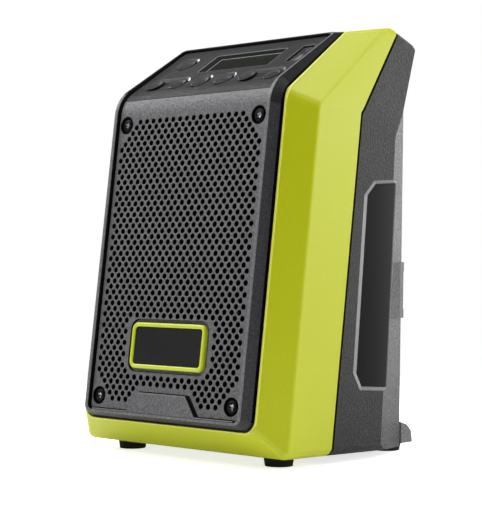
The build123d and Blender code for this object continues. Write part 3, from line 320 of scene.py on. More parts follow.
def mirrored(right):
    """Closed outline from its right half, which runs upwards."""
    return right + [(-x, s) for x, s in reversed(right)]


print("a circle of 24 has", len(circle(0, 0, 1, 24)), "points")

# %% [markdown]
# ## Shapes and pieces
# A shape is a list of points and a list of faces. Stacking rings joins each to the next with
# four-sided faces. A shape can be moved by a matrix or bent onto the skin, shapes can be joined,
# and in the end they become a piece that rides on the right body of the CAD model.

# %% Mesh helpers
def stack(rings, endless=False, flip=False):
    """Shape of a moulding made of rings; its ends get a flat cap or join up."""
    count = len(rings[0])
    points = [p for ring in rings for p in ring]
    starts = [level * count for level in range(len(rings))]
    pairs = list(zip(starts, starts[1:]))
    if endless:
        pairs.append((starts[-1], 0))
    faces = []
    for a, b in pairs:
        for k in range(count):
            n = (k + 1) % count
            faces.append((a + k, a + n, b + n, b + k))
    if not endless:
        faces.append(tuple(range(count))[::-1])
        faces.append(tuple(range(starts[-1], starts[-1] + count)))
    return points, [face[::-1] for face in faces] if flip else faces


def joined(*shapes):
    """Several shapes as one."""
    points, faces = [], []
    for more_points, more_faces in shapes:
        base = len(points)
        points += more_points
        faces += [tuple(base + i for i in face) for face in more_faces]
    return points, faces


def placed(shape, matrix):
    """A shape moved by a matrix."""
    return [matrix @ Vector(p) for p in shape[0]], shape[1]


def bent(shape):
    """A shape drawn in x, s and out, laid onto the skin."""
    return [on_skin(*p) for p in shape[0]], shape[1]


def new_piece(name, shape, finish_name, body="housing", stands_for=(), sharp=32.0):
    """Mesh object that rides on a body, wears a named finish and hides the parts it stands for."""
    points, faces = shape
    mesh = bpy.data.meshes.new(name)
    mesh.from_pydata([tuple(p) for p in points], [], faces)
    mesh.validate()
    mesh.materials.append(finishes[finish_name])
    mesh.shade_smooth()
    mesh.set_sharp_from_angle(angle=radians(sharp))
    piece = bpy.data.objects.new(name, mesh)
    scene.collection.objects.link(piece)
    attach(piece, body)
    if stands_for:
        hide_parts(*stands_for)
    print(name, len(mesh.polygons), "faces")
    return piece


def refinish(piece, finish_name, wanted):
    """Gives a named finish to the faces for which wanted(centre, normal) is true."""
    piece.data.materials.append(finishes[finish_name])
    index = len(piece.data.materials) - 1
    for face in piece.data.polygons:
        if wanted(face.center, face.normal):
            face.material_index = index


def even_shading(piece, weight=50):
    """Shading that follows the largest faces, so that flat sides stay flat."""
    even = piece.modifiers.new("even", "WEIGHTED_NORMAL")
    even.weight = weight
    even.keep_sharp = True


print("helpers ready")

# %% [markdown]
# ## The grain of a mould
# Moulded plastic is never one flat colour. Its mould is spark-eroded or etched, so the surface
# has a fine grain that scatters highlights, and its colour drifts a little where the melt
# flowed. One node group makes the grain as a height, a small shift of colour and a drift.
# It works in the object's own coordinates, so a key keeps its grain while it moves.

# %% Grain
def shader_group(name, inputs, outputs):
    """Empty node group with named number sockets, and its input and output nodes."""
    group = bpy.data.node_groups.new(name, "ShaderNodeTree")
    for labels, side in ((inputs, "INPUT"), (outputs, "OUTPUT")):
        for label in labels:
            group.interface.new_socket(label, in_out=side, socket_type="NodeSocketFloat")
    return group, group.nodes.new("NodeGroupInput"), group.nodes.new("NodeGroupOutput")


def add_noise(tree, coordinates, scale, detail, roughness=0.5):
    """Output of a noise texture."""
    inputs = {"Scale": scale, "Detail": detail, "Roughness": roughness}
    return feed(tree, add_node(tree, "TexNoise", inputs), coordinates)


grain, grain_in, grain_out = shader_group("moulded_grain", ["Scale"], ["Height", "Speckle", "Drift"])
where = add_node(grain, "TexCoord").outputs["Object"]
scaled = add_node(grain, "VectorMath", operation="SCALE")
grain.links.new(where, scaled.inputs[0])
grain.links.new(grain_in.outputs["Scale"], scaled.inputs["Scale"])
fine = add_noise(grain, scaled.outputs[0], 2600, 3, 0.65)
broad = add_noise(grain, scaled.outputs[0], 1050, 2)
height = add_math(grain, "MULTIPLY_ADD", broad, 1.6, fine)
speckle = add_math(grain, "MULTIPLY_ADD", broad, 0.7, add_math(grain, "MULTIPLY_ADD", fine, 0.7, -0.7))
feed(grain, grain_out, height, speckle, add_math(grain, "SUBTRACT", add_noise(grain, where, 24, 2), 0.5))
print("group", grain.name)

# %% [markdown]
# ## A finish for every surface
# A finish is a Principled material whose colour, roughness and bump come from that grain.
# The shader stays in the material itself, and its plain numbers sit on its own sockets.
# Dark ABS with an etched surface is rough and reflects only a little. Glossy lime ABS is
# smoother, so its broad highlights wash the colour out to a pale yellow.

# %% Finish builder
def tinted(colour, amount):
    """Lighter or darker version of a colour."""
    return tuple(min(1.0, max(0.0, c * amount)) for c in colour[:3]) + (1,)


def srgb(red, green, blue):
    """Colour written as 0 to 255 on screen, as the renderer's linear numbers."""
    def linear(v):
        v /= 255
        return v / 12.92 if v <= 0.04045 else ((v + 0.055) / 1.055) ** 2.4
    return (linear(red), linear(green), linear(blue), 1)


def add_bump(tree, height, strength):
    """Lets a height texture roughen the material's shader."""
    relief = add_node(tree, "Bump", {"Strength": strength, "Distance": 0.0002})
    tree.links.new(height, relief.inputs["Height"])
    tree.links.new(relief.outputs["Normal"], tree.nodes["Principled BSDF"].inputs["Normal"])


def add_shades(tree, factor, dark, light):
    """Lets a texture choose between two base colours."""
    shades = add_node(tree, "Mix", {"A": dark, "B": light}, data_type="RGBA")
    tree.links.new(factor, shades.inputs["Factor"])
    tree.links.new(shades.outputs["Result"], tree.nodes["Principled BSDF"].inputs["Base Color"])


def principled(name, **numbers):
    """New Principled material with numbers on its own sockets; _ stands for a space."""
    material = bpy.data.materials.new(name)
    material.use_nodes = True
    sockets = material.node_tree.nodes["Principled BSDF"].inputs
    for label, value in numbers.items():
        sockets[label.replace("_", " ")].default_value = value
    return material, material.node_tree, sockets


def finish(name, colour, roughness, speckle, bump, specular=0.5, drift=0.1, metallic=0.0, scale=1.0):
    """Principled material with the moulded grain in its colour, roughness and bump."""
    material, tree, sockets = principled(name, Metallic=metallic, Specular_IOR_Level=specular)
    texture = add_node(tree, "Group", {"Scale": scale}, node_tree=grain).outputs
    spots = add_math(tree, "MULTIPLY_ADD", texture["Speckle"], speckle * 6, 0.5)
    spots = add_math(tree, "MULTIPLY_ADD", texture["Drift"], drift * 2, spots)
    add_shades(tree, feed(tree, add_node(tree, "Clamp"), spots), tinted(colour, 0.55), tinted(colour, 1.45))
    gloss = add_math(tree, "MULTIPLY_ADD", texture["Drift"], 0.16, roughness)
    gloss = add_math(tree, "MULTIPLY_ADD", texture["Speckle"], -speckle, gloss)
    tree.links.new(gloss, sockets["Roughness"])
    add_bump(tree, texture["Height"], bump)
    return material


print("finish builder ready")

# %% [markdown]
# ## The table of finishes
# Each row is one finish. Most dress a whole part. A few dress only some faces of a moulding:
# some paint light or shade into the colour, such as the highlight on the bezel's lip or the shade
# on walls that lie in shadow, and one is a polished slope. The painted ones could be left to the
# light alone, but painting them makes them read from further away.
# A row gives the colour on screen, the roughness, the speckle and the bump. Then, where they
# differ from the usual, come specular, drift of colour, metallic and the scale of the grain.

# %% Finish table
finish_table = {
    "lime_plastic": ((180, 187, 0), 0.42, 0.03, 0.10, 0.44, 0.03),
    "lime_trim": ((190, 202, 44), 0.32, 0.02, 0.06, 0.5, 0.04),
    # paler lime: a painted highlight for the rounded rim of the shell
    "painted_lime_highlight": ((214, 219, 84), 0.4, 0.02, 0.06, 0.5, 0.03),
    "dark_plastic": ((30, 30, 32), 0.46, 0.5, 0.62, 0.24),
    "grey_plastic": ((62, 62, 64), 0.5, 0.5, 0.55),
    "grille_plastic": ((84, 84, 86), 0.5, 0.5, 0.55),
    "bezel_plastic": ((50, 50, 53), 0.5, 0.4, 0.5, 0.24),
    # painted highlight on the bezel's lip, then painted shade for the bevel on the fold and the deck
    "painted_lip_highlight": ((96, 96, 98), 0.5, 0.4, 0.5),
    "bezel_fold_painted_shade": ((34, 34, 37), 0.5, 0.4, 0.5, 0.14),
    "bezel_deck_painted_shade": ((22, 22, 25), 0.5, 0.4, 0.5, 0.08),
    "deck_plastic": ((30, 30, 32), 0.5, 0.4, 0.45, 0.24),
    # near-black painted shade for walls and recesses that the light hardly reaches
    "painted_shade_plastic": ((9, 9, 10), 0.6, 0.3, 0.3, 0.06),
    # pale grey painted highlight for bright edges
    "painted_edge_highlight": ((104, 104, 106), 0.45, 0.2, 0.2),
    # pale grey painted highlight for the outer sides of the lugs
    "painted_lug_highlight": ((98, 98, 100), 0.5, 0.5, 0.6, 0.4),
    "polished_rim": ((44, 44, 46), 0.3, 0.1, 0.03, 0.8),
    "key_rubber": ((24, 24, 26), 0.5, 0.3, 0.3, 0.24),
    "foot_rubber": ((26, 26, 27), 0.75, 0.1, 0.4, 0.3),
    "badge_face": ((24, 24, 26), 0.45, 0.1, 0.2, 0.16),
    "inlay_film": ((15, 15, 17), 0.45, 0.05, 0.12, 0.05),
    "display_lcd": ((64, 70, 60), 0.35, 0.02, 0.02),
    "window_pane": ((40, 43, 36), 0.2, 0.02, 0.02, 0.2),
    "black_screw": ((8, 8, 9), 0.45, 0.08, 0.2, 0.1),
    "steel_socket": ((214, 216, 218), 0.3, 0.05, 0.1, 0.5, 0.1, 1.0),
    "plated_steel": ((186, 188, 190), 0.3, 0.03, 0.08, 0.5, 0.1, 1.0),
    "connector_white": ((228, 228, 222), 0.45, 0.02, 0.1),
    "circuit_board": ((24, 92, 52), 0.4, 0.1, 0.2, 0.5, 0.3),
    "switch_black": ((30, 30, 32), 0.5, 0.08, 0.2),
    "speaker_paper": ((38, 37, 36), 0.85, 0.3, 0.6, 0.5, 0.1, 0.0, 0.4),
    "speaker_rubber": ((24, 24, 25), 0.6, 0.05, 0.2),
    "speaker_foam": ((34, 34, 35), 0.95, 0.35, 0.9, 0.5, 0.1, 0.0, 0.5),
    "ferrite": ((52, 52, 54), 0.7, 0.15, 0.4, 0.4),
    "copper_wire": ((184, 104, 62), 0.34, 0.06, 0.3, 0.5, 0.1, 1.0),
    "brass_contact": ((206, 172, 92), 0.28, 0.03, 0.1, 0.5, 0.1, 1.0),
    "dock_plastic": ((30, 30, 32), 0.5, 0.08, 0.4),
    "cooler_aluminium": ((176, 178, 180), 0.4, 0.06, 0.2, 0.5, 0.1, 1.0),
    "capacitor_sleeve": ((28, 34, 70), 0.3, 0.02, 0.05),
}
finishes = {name: finish(name, srgb(*colour), *numbers)
            for name, (colour, *numbers) in finish_table.items()}
print(len(finishes), "finishes")

# %% [markdown]
# ## Cloth and glass
# Behind the holes lies thin black acoustic cloth. Its weave is two crossed sets of threads,
# which two wave textures at right angles can draw. The display window is a smoked pane, so it
# passes a little greenish light from the liquid-crystal display below it.

# %% Woven cloth and smoked pane
weave, _, weave_out = shader_group("plain_weave", [], ["Threads"])
where = add_node(weave, "TexCoord").outputs["Object"]
waves = [add_node(weave, "TexWave", {"Scale": 700, "Distortion": 0.4}, bands_direction=way) for way in "XZ"]
for wave in waves:
    feed(weave, wave, where)
feed(weave, weave_out, add_math(weave, "MULTIPLY", *[wave.outputs["Fac"] for wave in waves]))

cloth, tree, sockets = principled("grille_cloth", Roughness=0.95, Specular_IOR_Level=0.1)
threads = add_node(tree, "Group", node_tree=weave).outputs["Threads"]
add_shades(tree, threads, srgb(5, 5, 6), srgb(26, 26, 28))
add_bump(tree, threads, 0.6)
finishes["grille_cloth"] = cloth

pane = finishes["window_pane"].node_tree.nodes["Principled BSDF"]
pane.inputs["Transmission Weight"].default_value = 0.35
print("cloth and pane")

# %% [markdown]
# ## Dressing the CAD parts
# Every part of the CAD model already knows its slot, so one loop gives each part its finish.
# The CAD edges are drawn with a few flats. Three modifiers make those flats read as one soft
# curve: the split points are welded, edges sharper than a limit stay crisp, and the shading
# follows the largest faces so that the flat sides stay flat.

# %% Smoothing the CAD parts
smoothing = bpy.data.node_groups.new("smooth_flats", "GeometryNodeTree")
for side in ("INPUT", "OUTPUT"):
    smoothing.interface.new_socket("Geometry", in_out=side, socket_type="NodeSocketGeometry")
start, end, faces, edges, bend, flat = (smoothing.nodes.new(kind) for kind in (
    "NodeGroupInput", "NodeGroupOutput", "GeometryNodeSetShadeSmooth", "GeometryNodeSetShadeSmooth",
    "GeometryNodeInputMeshEdgeAngle", "FunctionNodeCompare"))
faces.domain, edges.domain = "FACE", "EDGE"
flat.operation = "LESS_THAN"
flat.inputs["B"].default_value = radians(18.5)
smoothing.links.new(start.outputs[0], faces.inputs["Geometry"])
smoothing.links.new(faces.outputs[0], edges.inputs["Geometry"])
smoothing.links.new(bend.outputs["Unsigned Angle"], flat.inputs["A"])
smoothing.links.new(flat.outputs[0], edges.inputs["Shade Smooth"])
smoothing.links.new(edges.outputs[0], end.inputs[0])

for node in nodes.values():
    for slot in node.material_slots:
        slot.material = finishes[slot.material.name.split(".")[0]]
    node.modifiers.new("weld", "WELD").merge_threshold = 0.000002
    node.modifiers.new("smooth", "NODES").node_group = smoothing
    even_shading(node, 85)
print("dressed", len(nodes), "parts")

# %% [markdown]
# ## Perforated sheets
# The grille is a moulded plate with hundreds of small round holes in staggered rows. Such a
# plate is drawn flat first: a triangulation joins the outline to every hole, and it keeps the
# triangles that lie outside the holes. The same net serves for the front and the back, and
# rings of faces join them through each hole. Rows of edges let it bend over the fold.

# %% Perforated sheets
FOLD_STEPS = 10
fold_lines = [-fold_reach + 2 * fold_reach * k / FOLD_STEPS for k in range(FOLD_STEPS + 1)]


def sheet_outline(half, low, high, low_round, high_round, corner=5):
    """Counter-clockwise outline of a bent sheet as (x, s) points."""
    right = arc(half - low_round, low + low_round, low_round, -90, 0, corner)
    first, last = low + low_round + 0.2 * MM, high - high_round - 0.2 * MM
    right += [(half, s) for s in fold_lines if first < s < last]
    right += arc(half - high_round, high - high_round, high_round, 0, 90, corner)
    return mirrored(right)


def sheet_edge(half, low, high, low_round, high_round, bevel):
    """Rings of a sheet's outer edge; all in millimetres, bevel as (inset, out) from the front."""
    return [lifted(sheet_outline(*[size * MM for size in (half - inset, low + inset, high - inset,
                                                          low_round - inset, high_round - inset)]), out * MM)
            for inset, out in bevel]


def perforated(outline_rings, holes, thick):
    """Bent plate from rings of (x, s, out). Each hole is (rings, through), its first ring on top."""
    flat, loops = [], []
    for ring in [outline_rings[0]] + [rings[0] for rings, through in holes]:
        loops.append(list(range(len(flat), len(flat) + len(ring))))
        flat += [Vector(p[:2]) for p in ring]
    bends = []
    for s in fold_lines:
        level = sorted((p[0], i) for i, p in enumerate(outline_rings[0]) if abs(p[1] - s) < 1e-7)
        if len(level) >= 2:
            bends.append((level[0][1], level[-1][1]))
    net, _, net_faces, sources, _, face_sources = delaunay_2d_cdt(flat, bends, loops, 1, 1e-8)
    place_of = {old: new for new, olds in enumerate(sources) for old in olds}
    back = len(net)
    points = [on_skin(p[0], p[1], out) for out in (0.0, -thick) for p in net]
    faces = []
    for face, olds in zip(net_faces, face_sources):
        if list(olds) == [0]:
            faces += [tuple(face), tuple(i + back for i in reversed(face))]

    def wall(loop, rings, inward, through):
        """Faces from a loop of the net down its rings; returns the last ring and the back loop."""
        upper = [place_of[i] for i in loop]
        back_loop = [i + back for i in upper]
        levels = []
        for ring in rings[1:]:
            levels.append(list(range(len(points), len(points) + len(ring))))
            points.extend(on_skin(*p) for p in ring)
        for lower in levels + ([back_loop] if through else []):
            for k in range(len(loop)):
                n = (k + 1) % len(loop)
                quad = (upper[k], upper[n], lower[n], lower[k])
                faces.append(quad if inward else quad[::-1])
            upper = lower
        return upper, back_loop

    wall(loops[0], outline_rings, False, True)
    for loop, (rings, through) in zip(loops[1:], holes):
        last, back_loop = wall(loop, rings, True, through)
        if not through:
            faces += [tuple(last), tuple(reversed(back_loop))]
    return points, faces


print("fold has", FOLD_STEPS, "steps")

# %% [markdown]
# ## The pattern of holes
# The holes stop at a plain border that runs round the badge, the raised tab and the four
# screws. A test on the row and the column says where there is a hole.

# %% Grille sizes
column_pitch = 2.0 * MM
row_pitch = 2.355 * MM
pattern_s = -52.4 * MM               # pattern centre below the fold
plate_half = 42.85                   # in millimetres, as the next two
plate_low, plate_top = -132.9, 0.95
plate_thick = 2.4
badge_s = pattern_s - 52.6 * MM
badge_half = (21.2, 9.5)
screw_places = [(x * 38.4 * MM, pattern_s + up * MM) for x in (-1, 1) for up in (41.4, -74.6)]


def has_hole(i, v):
    """True where the staggered pattern has a hole; v counts rows downwards from the centre."""
    if (i + v) % 2 == 0 or abs(i) > min(20 if v % 2 else 19, v + 33, 47 - v):
        return False
    if 18 <= v <= 26 and abs(i) < 13 or v == 27 and abs(i) < 12:
        return False
    return not (v >= 30 and abs(i) < v - 21)


hole_places = [(i * column_pitch, pattern_s - v * row_pitch)
               for v in range(-18, 33) for i in range(-20, 21) if has_hole(i, v)]
print(len(hole_places), "holes")

# %% [markdown]
# ## The speaker grille
# Each hole has a hair-thin bevel at its mouth. The walls of the holes and the insides of the screw
# wells are painted near-black: painted shade, because so little light gets into them.

# %% Grille plate
def badge_outline(grow, radius, out):
    """Ring round the badge, in millimetres."""
    half_x, half_s = [(half + grow) * MM for half in badge_half]
    return rounded_box(half_x, half_s, radius * MM, out * MM, 8, 0, badge_s)


hole = ((1.25, 0), (1.19, -0.04), (1.17, -0.2), (1.17, -2.2))
well = ((3.95, 0), (3.86, -0.08), (3.8, -0.25), (3.75, -1.5))
moat = ((0.25, 0.0), (0.07, -0.07), (0, -0.25), (-0.03, -1.2))
holes = [(lathe(hole, 16, x, s), True) for x, s in hole_places]
holes += [(lathe(well, 40, x, s), False) for x, s in screw_places]
holes.append(([badge_outline(1.5 + grow, 4.5 + grow, out) for grow, out in moat], False))
plate_edge = sheet_edge(plate_half, plate_low, plate_top, 2.0, 0.4,
                        ((0.25, 0.0), (0.075, -0.075), (0, -0.25), (0, 0.25 - plate_thick)))
grille = new_piece("grille_plate", perforated(plate_edge, holes, plate_thick * MM), "grille_plastic",
                   stands_for=["speaker_grille"], sharp=40)
screw_points = [on_skin(x, s) for x, s in screw_places]
inside_edge = (plate_half - 0.2) * MM


def in_hole(centre, normal):
    """True on the walls of the holes and inside the wells."""
    if abs(normal.dot(face_out)) < 0.4 and abs(centre.x) < inside_edge:
        return True
    return min((centre - p).length for p in screw_points) < 3.75 * MM


# painted shade: the walls of the holes and the wells are made near-black
refinish(grille, "painted_shade_plastic", in_hole)
even_shading(grille)

# %% [markdown]
# ## The raised tab
# Below the badge the plate steps up by 1.3 millimetres, in the outline of a tab with a strip to
# each side. It is moulded in one with the plate; here it is a thin solid that is set a little
# into the plate. Its upper edge is bevelled so that it catches the light. A thin near-black strip
# lies along its upper edges with a wedge beside its right slope, and the end that faces away from
# the light is near-black too: both are painted shade.

# %% Raised tab
tab_ring = [(-41.0, -81.2), (41.0, -81.2), (41.0, -80.0), (20.0, -80.0), (13.8, -72.0), (-13.8, -72.0),
            (-20.0, -80.0), (-41.0, -80.0)]


def inset_outline(ring, amount):
    """Outline moved inwards by an amount; the ring runs counter-clockwise."""
    result = []
    for k, (x, y) in enumerate(ring):
        before, after = ring[k - 1], ring[(k + 1) % len(ring)]
        a = (Vector((x, y)) - Vector(before)).normalized()
        b = (Vector(after) - Vector((x, y))).normalized()
        n, m = Vector((-a.y, a.x)), Vector((-b.y, b.x))
        shift = (n + m) * (amount / (1 + n.dot(m)))
        result.append((x + shift.x, y + shift.y))
    return result


def on_pattern(ring, out):
    """Millimetre points round the middle of the hole pattern, as x, s and out."""
    return [(x * MM, pattern_s + y * MM, out * MM) for x, y in ring]


tab_levels = ((0, -0.5), (0, 0.8), (0.2, 1.1), (0.7, 1.3))
tab_shape = stack([on_pattern(inset_outline(tab_ring, inset), out) for inset, out in tab_levels])
tab = new_piece("grille_tab", bent(tab_shape), "grille_plastic", sharp=50)
# painted shade: the faces of the right end, which turn away from the light, are made near-black
refinish(tab, "painted_shade_plastic", lambda centre, normal: normal.x > 0.3 and normal.dot(face_out) < 0.6)
even_shading(tab)

# painted shade: a near-black strip just outside the upper edges, and a wedge beside the right slope
shade_strip_section = ((0.0, 0.03), (-0.42, 0.03), (-0.42, -0.3), (0.0, -0.3))
shade_strip_lines = [on_pattern(inset_outline(tab_ring, inset)[2:], out) for inset, out in shade_strip_section]
shade_strip = stack([list(section) for section in zip(*shade_strip_lines)])
slope = [(20.0, -80.0), (21.5, -79.9), (15.1, -71.6), (13.8, -72.0)]
slope_shade = stack([on_pattern(slope, out) for out in (-0.3, 0.04)])
new_piece("tab_painted_shade_strip", bent(joined(shade_strip, slope_shade)), "painted_shade_plastic", sharp=30)

# %% [markdown]
# ## The badge frame
# The badge is a bright lime frame round a plain dark plate, standing in a shallow moat.
# A frame like this is moulded on its own in glossy plastic and clipped in. Its section is a
# low round arch, so one thin highlight runs all the way round it.

# %% Badge
ARCH = 1.7                           # width of the frame in millimetres
arch_section = ((0.0, -1.2), (0.0, 0.45), (0.10, 0.72), (0.28, 0.86), (0.5, 0.9), (0.72, 0.86), (0.90, 0.72),
                (1.0, 0.45), (1.0, -1.2))
frame_rings = [badge_outline(-across * ARCH, 3.0 - across * ARCH * 0.9, out) for across, out in arch_section]
new_piece("badge_frame", bent(stack(frame_rings, endless=True)), "lime_trim",
          stands_for=["badge_ring"], sharp=50)
face_section = ((0.02, -1.2), (0.02, 0.1), (0.12, 0.25), (0.4, 0.3))
face_rings = [badge_outline(-ARCH - inset, 1.4, out) for inset, out in face_section]
new_piece("badge_face", bent(stack(face_rings)), "badge_face", stands_for=["badge_plate"])

# %% [markdown]
# ## Screws of the grille
# Four black pan-head screws sit deep in round wells. Their heads have a star socket: six
# rounded lobes with a pin-free floor. The socket is bright steel and catches the light.

# %% Grille screws
def star(radius, depth_ratio, count, z):
    """Ring of a six-lobed socket, in millimetres."""
    ring = []
    for k in range(count):
        turn = 2 * pi * k / count
        r = radius * MM * (1 - depth_ratio * (0.5 - 0.5 * cos(6 * turn)))
        ring.append((r * cos(turn), r * sin(turn), z * MM))
    return ring


def star_screw(head, height, socket, shank, length, pitch=0.9, count=48):
    """Pan-head screw in millimetres, with its head on Z = 0 and its shank below."""
    turned = [(shank * 0.3, -length), (shank, shank - length)]
    for k in range(int(length / pitch) - 2):
        z = shank - length + (k + 0.5) * pitch
        turned += [(shank * 0.86, z), (shank, z + pitch / 2)]
    turned += [(shank * 0.95, 0), (head, 0), (head, height * 0.45), (head * 0.95, height * 0.75),
               (head * 0.82, height * 0.93), (head * 0.66, height)]
    drive = [star(socket * 1.08, 0.24, count, height), star(socket, 0.26, count, height - 0.08),
             star(socket * 0.96, 0.26, count, height * 0.35)]
    return stack(lathe(turned, count) + drive + lathe([(socket * 0.2, height * 0.28)], count))


screw = star_screw(2.7, 1.3, 1.35, 1.4, 11.0)
screw_shapes = [placed(screw, skin_frame(x, s, -1.5 * MM)) for x, s in screw_places]
grille_screws = new_piece("grille_screws_detailed", joined(*screw_shapes), "black_screw",
                          stands_for=["grille_screws"], sharp=35)
socket_points = [on_skin(x, s, -0.7 * MM) for x, s in screw_places]
refinish(grille_screws, "steel_socket",
         lambda centre, normal: min((centre - p).length for p in socket_points) < 1.15 * MM)

# %% [markdown]
# ## The bezel
# A dark frame runs round the grille and the control deck. It has a narrow lip beside them, a
# groove, a wide bevel and a step down to the lime shell. Its section is the same everywhere,
# but its width changes: it is wide at the sides, narrow along the bottom and the top.
# So each ring of the frame lies a fixed part of the way from the inner edge to the outer edge.

# %% Bezel rings
CORNER = 6


def up_deck(s):
    """How far up the deck a place lies, from 0 at the fold to 1."""
    return max(0.0, min(1.0, s / (50 * MM)))


def frame_loop(part):
    """Loop of (x, s) at a part of the way from the bezel's inner edge (0) to its outer edge (1)."""
    low, high = (-133.1 - 3.1 * part) * MM, (45.9 + 4.1 * part) * MM
    round_low, round_high = (2.2 + 2.8 * part) * MM, (2.2 - 1.0 * part) * MM

    def half(s):
        outer = 48.8 - up_deck(s) * 2.6
        return (43.5 + (outer - 43.5) * part) * MM

    right = arc(half(low) - round_low, low + round_low, round_low, -90, 0, CORNER)
    right += [(half(s), s) for s in fold_lines]
    right += [(half(s) + x, s) for x, s in arc(-round_high, high - round_high, round_high, 0, 90, CORNER)]
    return mirrored(right)


def low_edge(s):
    """Height of the bezel's outer edge: it rises towards the top of the deck."""
    return (-2.8 + 2.0 * up_deck(s)) * MM


def crest(s):
    """Height of the bezel's lip, a little lower on the deck."""
    return (1.5 - 0.5 * up_deck(s)) * MM


def flat_base(s):
    return 0.0


bezel_section = [(0.0, -2.4, flat_base), (0.0, -0.25, crest), (0.025, -0.06, crest), (0.06, 0.0, crest),
                 (0.28, 0.0, crest), (0.33, -0.08, crest), (0.37, -0.35, crest), (0.76, 0.6, low_edge),
                 (0.79, 0.45, low_edge), (0.80, -1.2, low_edge), (1.0, -1.2, low_edge),
                 (1.0, -5.0, flat_base), (-0.3, -5.0, flat_base), (-0.3, -2.4, flat_base)]
bezel_rings = [[(x, s, base(s) + out * MM) for x, s in frame_loop(part)] for part, out, base in bezel_section]
bezel = new_piece("bezel_frame", bent(stack(bezel_rings, endless=True)), "bezel_plastic",
                  stands_for=["front_bezel"], sharp=35)

# %% [markdown]
# The frame is one moulding, but its faces are painted in different tones. The lip is painted
# paler, a painted highlight; the walls that go down are near-black, painted shade; and the bevel is
# painted darker on the deck than beside the grille, with a step in between on the fold, as painted
# shade. The ring that a face hangs on tells which of these it belongs to.

# %% Bezel finishes
# LIP is the painted highlight; SHADOW, DECK and FOLD are painted shade
LIP, SHADOW, DECK, FOLD = range(1, 5)
for name in ("painted_lip_highlight", "painted_shade_plastic", "bezel_deck_painted_shade", "bezel_fold_painted_shade"):
    bezel.data.materials.append(finishes[name])
loop_count = len(bezel_rings[0])
last_level = len(bezel_section) - 1
fold_end = on_skin(0, fold_reach).z
fold_start = on_skin(0, -fold_reach).z - 0.001
bottom_height = on_skin(0, -132.8 * MM).z
for face in bezel.data.polygons:
    levels = sorted({v // loop_count for v in face.vertices})
    level = levels[0] if levels[-1] - levels[0] == 1 else last_level
    height = face.center.z
    on_deck = height > fold_end
    if 1 <= level <= 4:
        face.material_index = LIP if not on_deck or face.center.x > 0 and level < 4 else DECK
    elif level == 0 or level >= 8 and height > bottom_height:
        face.material_index = SHADOW
    elif on_deck:
        face.material_index = DECK
    elif height > fold_start:
        face.material_index = FOLD
print("bezel in five tones")

# %% [markdown]
# ## The rim of the lime shell
# Where the lime shell meets the bezel its edge is softly rounded, and that rounding shows as a
# thin bright line all the way round. It is drawn here as a slim bead that follows the pocket,
# in a paler lime that is a painted highlight.

# %% Shell rim
bead_rings = []
for angle in range(0, 360, 36):
    turn = radians(angle)
    ring = []
    for (x, s), (outer_x, outer_s) in zip(frame_loop(1.0), frame_loop(1.12)):
        run = Vector((outer_x - x, outer_s - s))
        run = run.normalized() if run.length > 0 else Vector((1, 0))
        reach = (0.62 + 0.40 * cos(turn)) * MM
        ring.append((x + run.x * reach, s + run.y * reach, low_edge(s) + (-0.28 + 0.40 * sin(turn)) * MM))
    bead_rings.append(ring)
# the bead wears the paler lime of a painted highlight
new_piece("shell_rim", bent(stack(bead_rings, endless=True)), "painted_lime_highlight", sharp=60)

# %% [markdown]
# ## Openings of the deck
# The deck is the upper half of the same bent sheet. It has a round dish under every key, a
# deep bevelled frame round the display and a slot for the USB socket. Dishes let a gloved
# finger find a key. Every opening is a hole of the flat net with its own rings, as before.

# %% Deck openings
KEY_ROW = 13.4 * MM
LOBE = 6.8 * MM
key_places = {"mode_button": (-LOBE, KEY_ROW), "source_button": (LOBE, KEY_ROW),
              "power_button": (-31.2 * MM, 33.0 * MM)}
rocker_places = {"tuning_rocker": (-27.2 * MM, KEY_ROW), "volume_rocker": (27.2 * MM, KEY_ROW)}


def lobed(radius, half_waist, out, x=0.0, y=0.0, steps=24, bar=3):
    """Outline of a rocker in millimetres, at a place: two round lobes joined by a bar."""
    radius, half_waist = radius * MM, half_waist * MM
    meet = 180 - degrees(asin(half_waist / radius))
    half_ring = arc(LOBE, 0.0, radius, -meet, meet, steps)
    inner = half_ring[-1][0]
    half_ring += [(inner * (1 - 2 * k / (bar + 1)), half_waist) for k in range(1, bar + 1)]
    return [(x + side * p[0], y + side * p[1], out * MM) for side in (1, -1) for p in half_ring]


dish = ((6.15, 0.0), (5.95, -0.05), (5.75, -0.16), (5.0, -0.58), (4.7, -0.7), (4.5, -0.76), (4.5, -2.2))
double_dish = ((6.15, 5.85, 0.0), (5.95, 5.65, -0.05), (5.75, 5.4, -0.16), (5.0, 4.5, -0.58),
               (4.7, 3.1, -0.7), (4.5, 2.6, -0.76), (4.5, 2.6, -2.2))
deck_holes = [(lathe(dish, 48, x, s), True) for x, s in key_places.values()]
deck_holes += [([lobed(r, waist, out, x, s) for r, waist, out in double_dish], True)
               for x, s in rocker_places.values()]

window_place, usb_place = (4.0 * MM, 30.3 * MM), (36.3 * MM, 31.0 * MM)
window_rings = ((20.6, 8.0, 1.3, 0.0), (20.2, 7.7, 1.2, -0.07), (17.85, 6.45, 0.6, -1.25),
                (17.45, 6.13, 0.5, -1.34), (17.4, 6.1, 0.5, -1.5), (16.4, 5.1, 0.5, -2.2))
usb_rings = ((3.6, 7.3, 1.5, 0.0), (3.45, 7.15, 1.35, -0.08), (3.05, 6.75, 0.95, -0.5),
             (3.05, 6.75, 0.95, -2.2))
for sizes, (x, s) in ((window_rings, window_place), (usb_rings, usb_place)):
    deck_holes.append(([rounded_box(half_x * MM, half_s * MM, radius * MM, out * MM, 5, x, s)
                        for half_x, half_s, radius, out in sizes], True))
print(len(deck_holes), "openings")

# %% [markdown]
# ## The control deck
# Under the deck stand posts for the circuit boards, and each rocker hangs between two ears
# with a round eye for its pin.

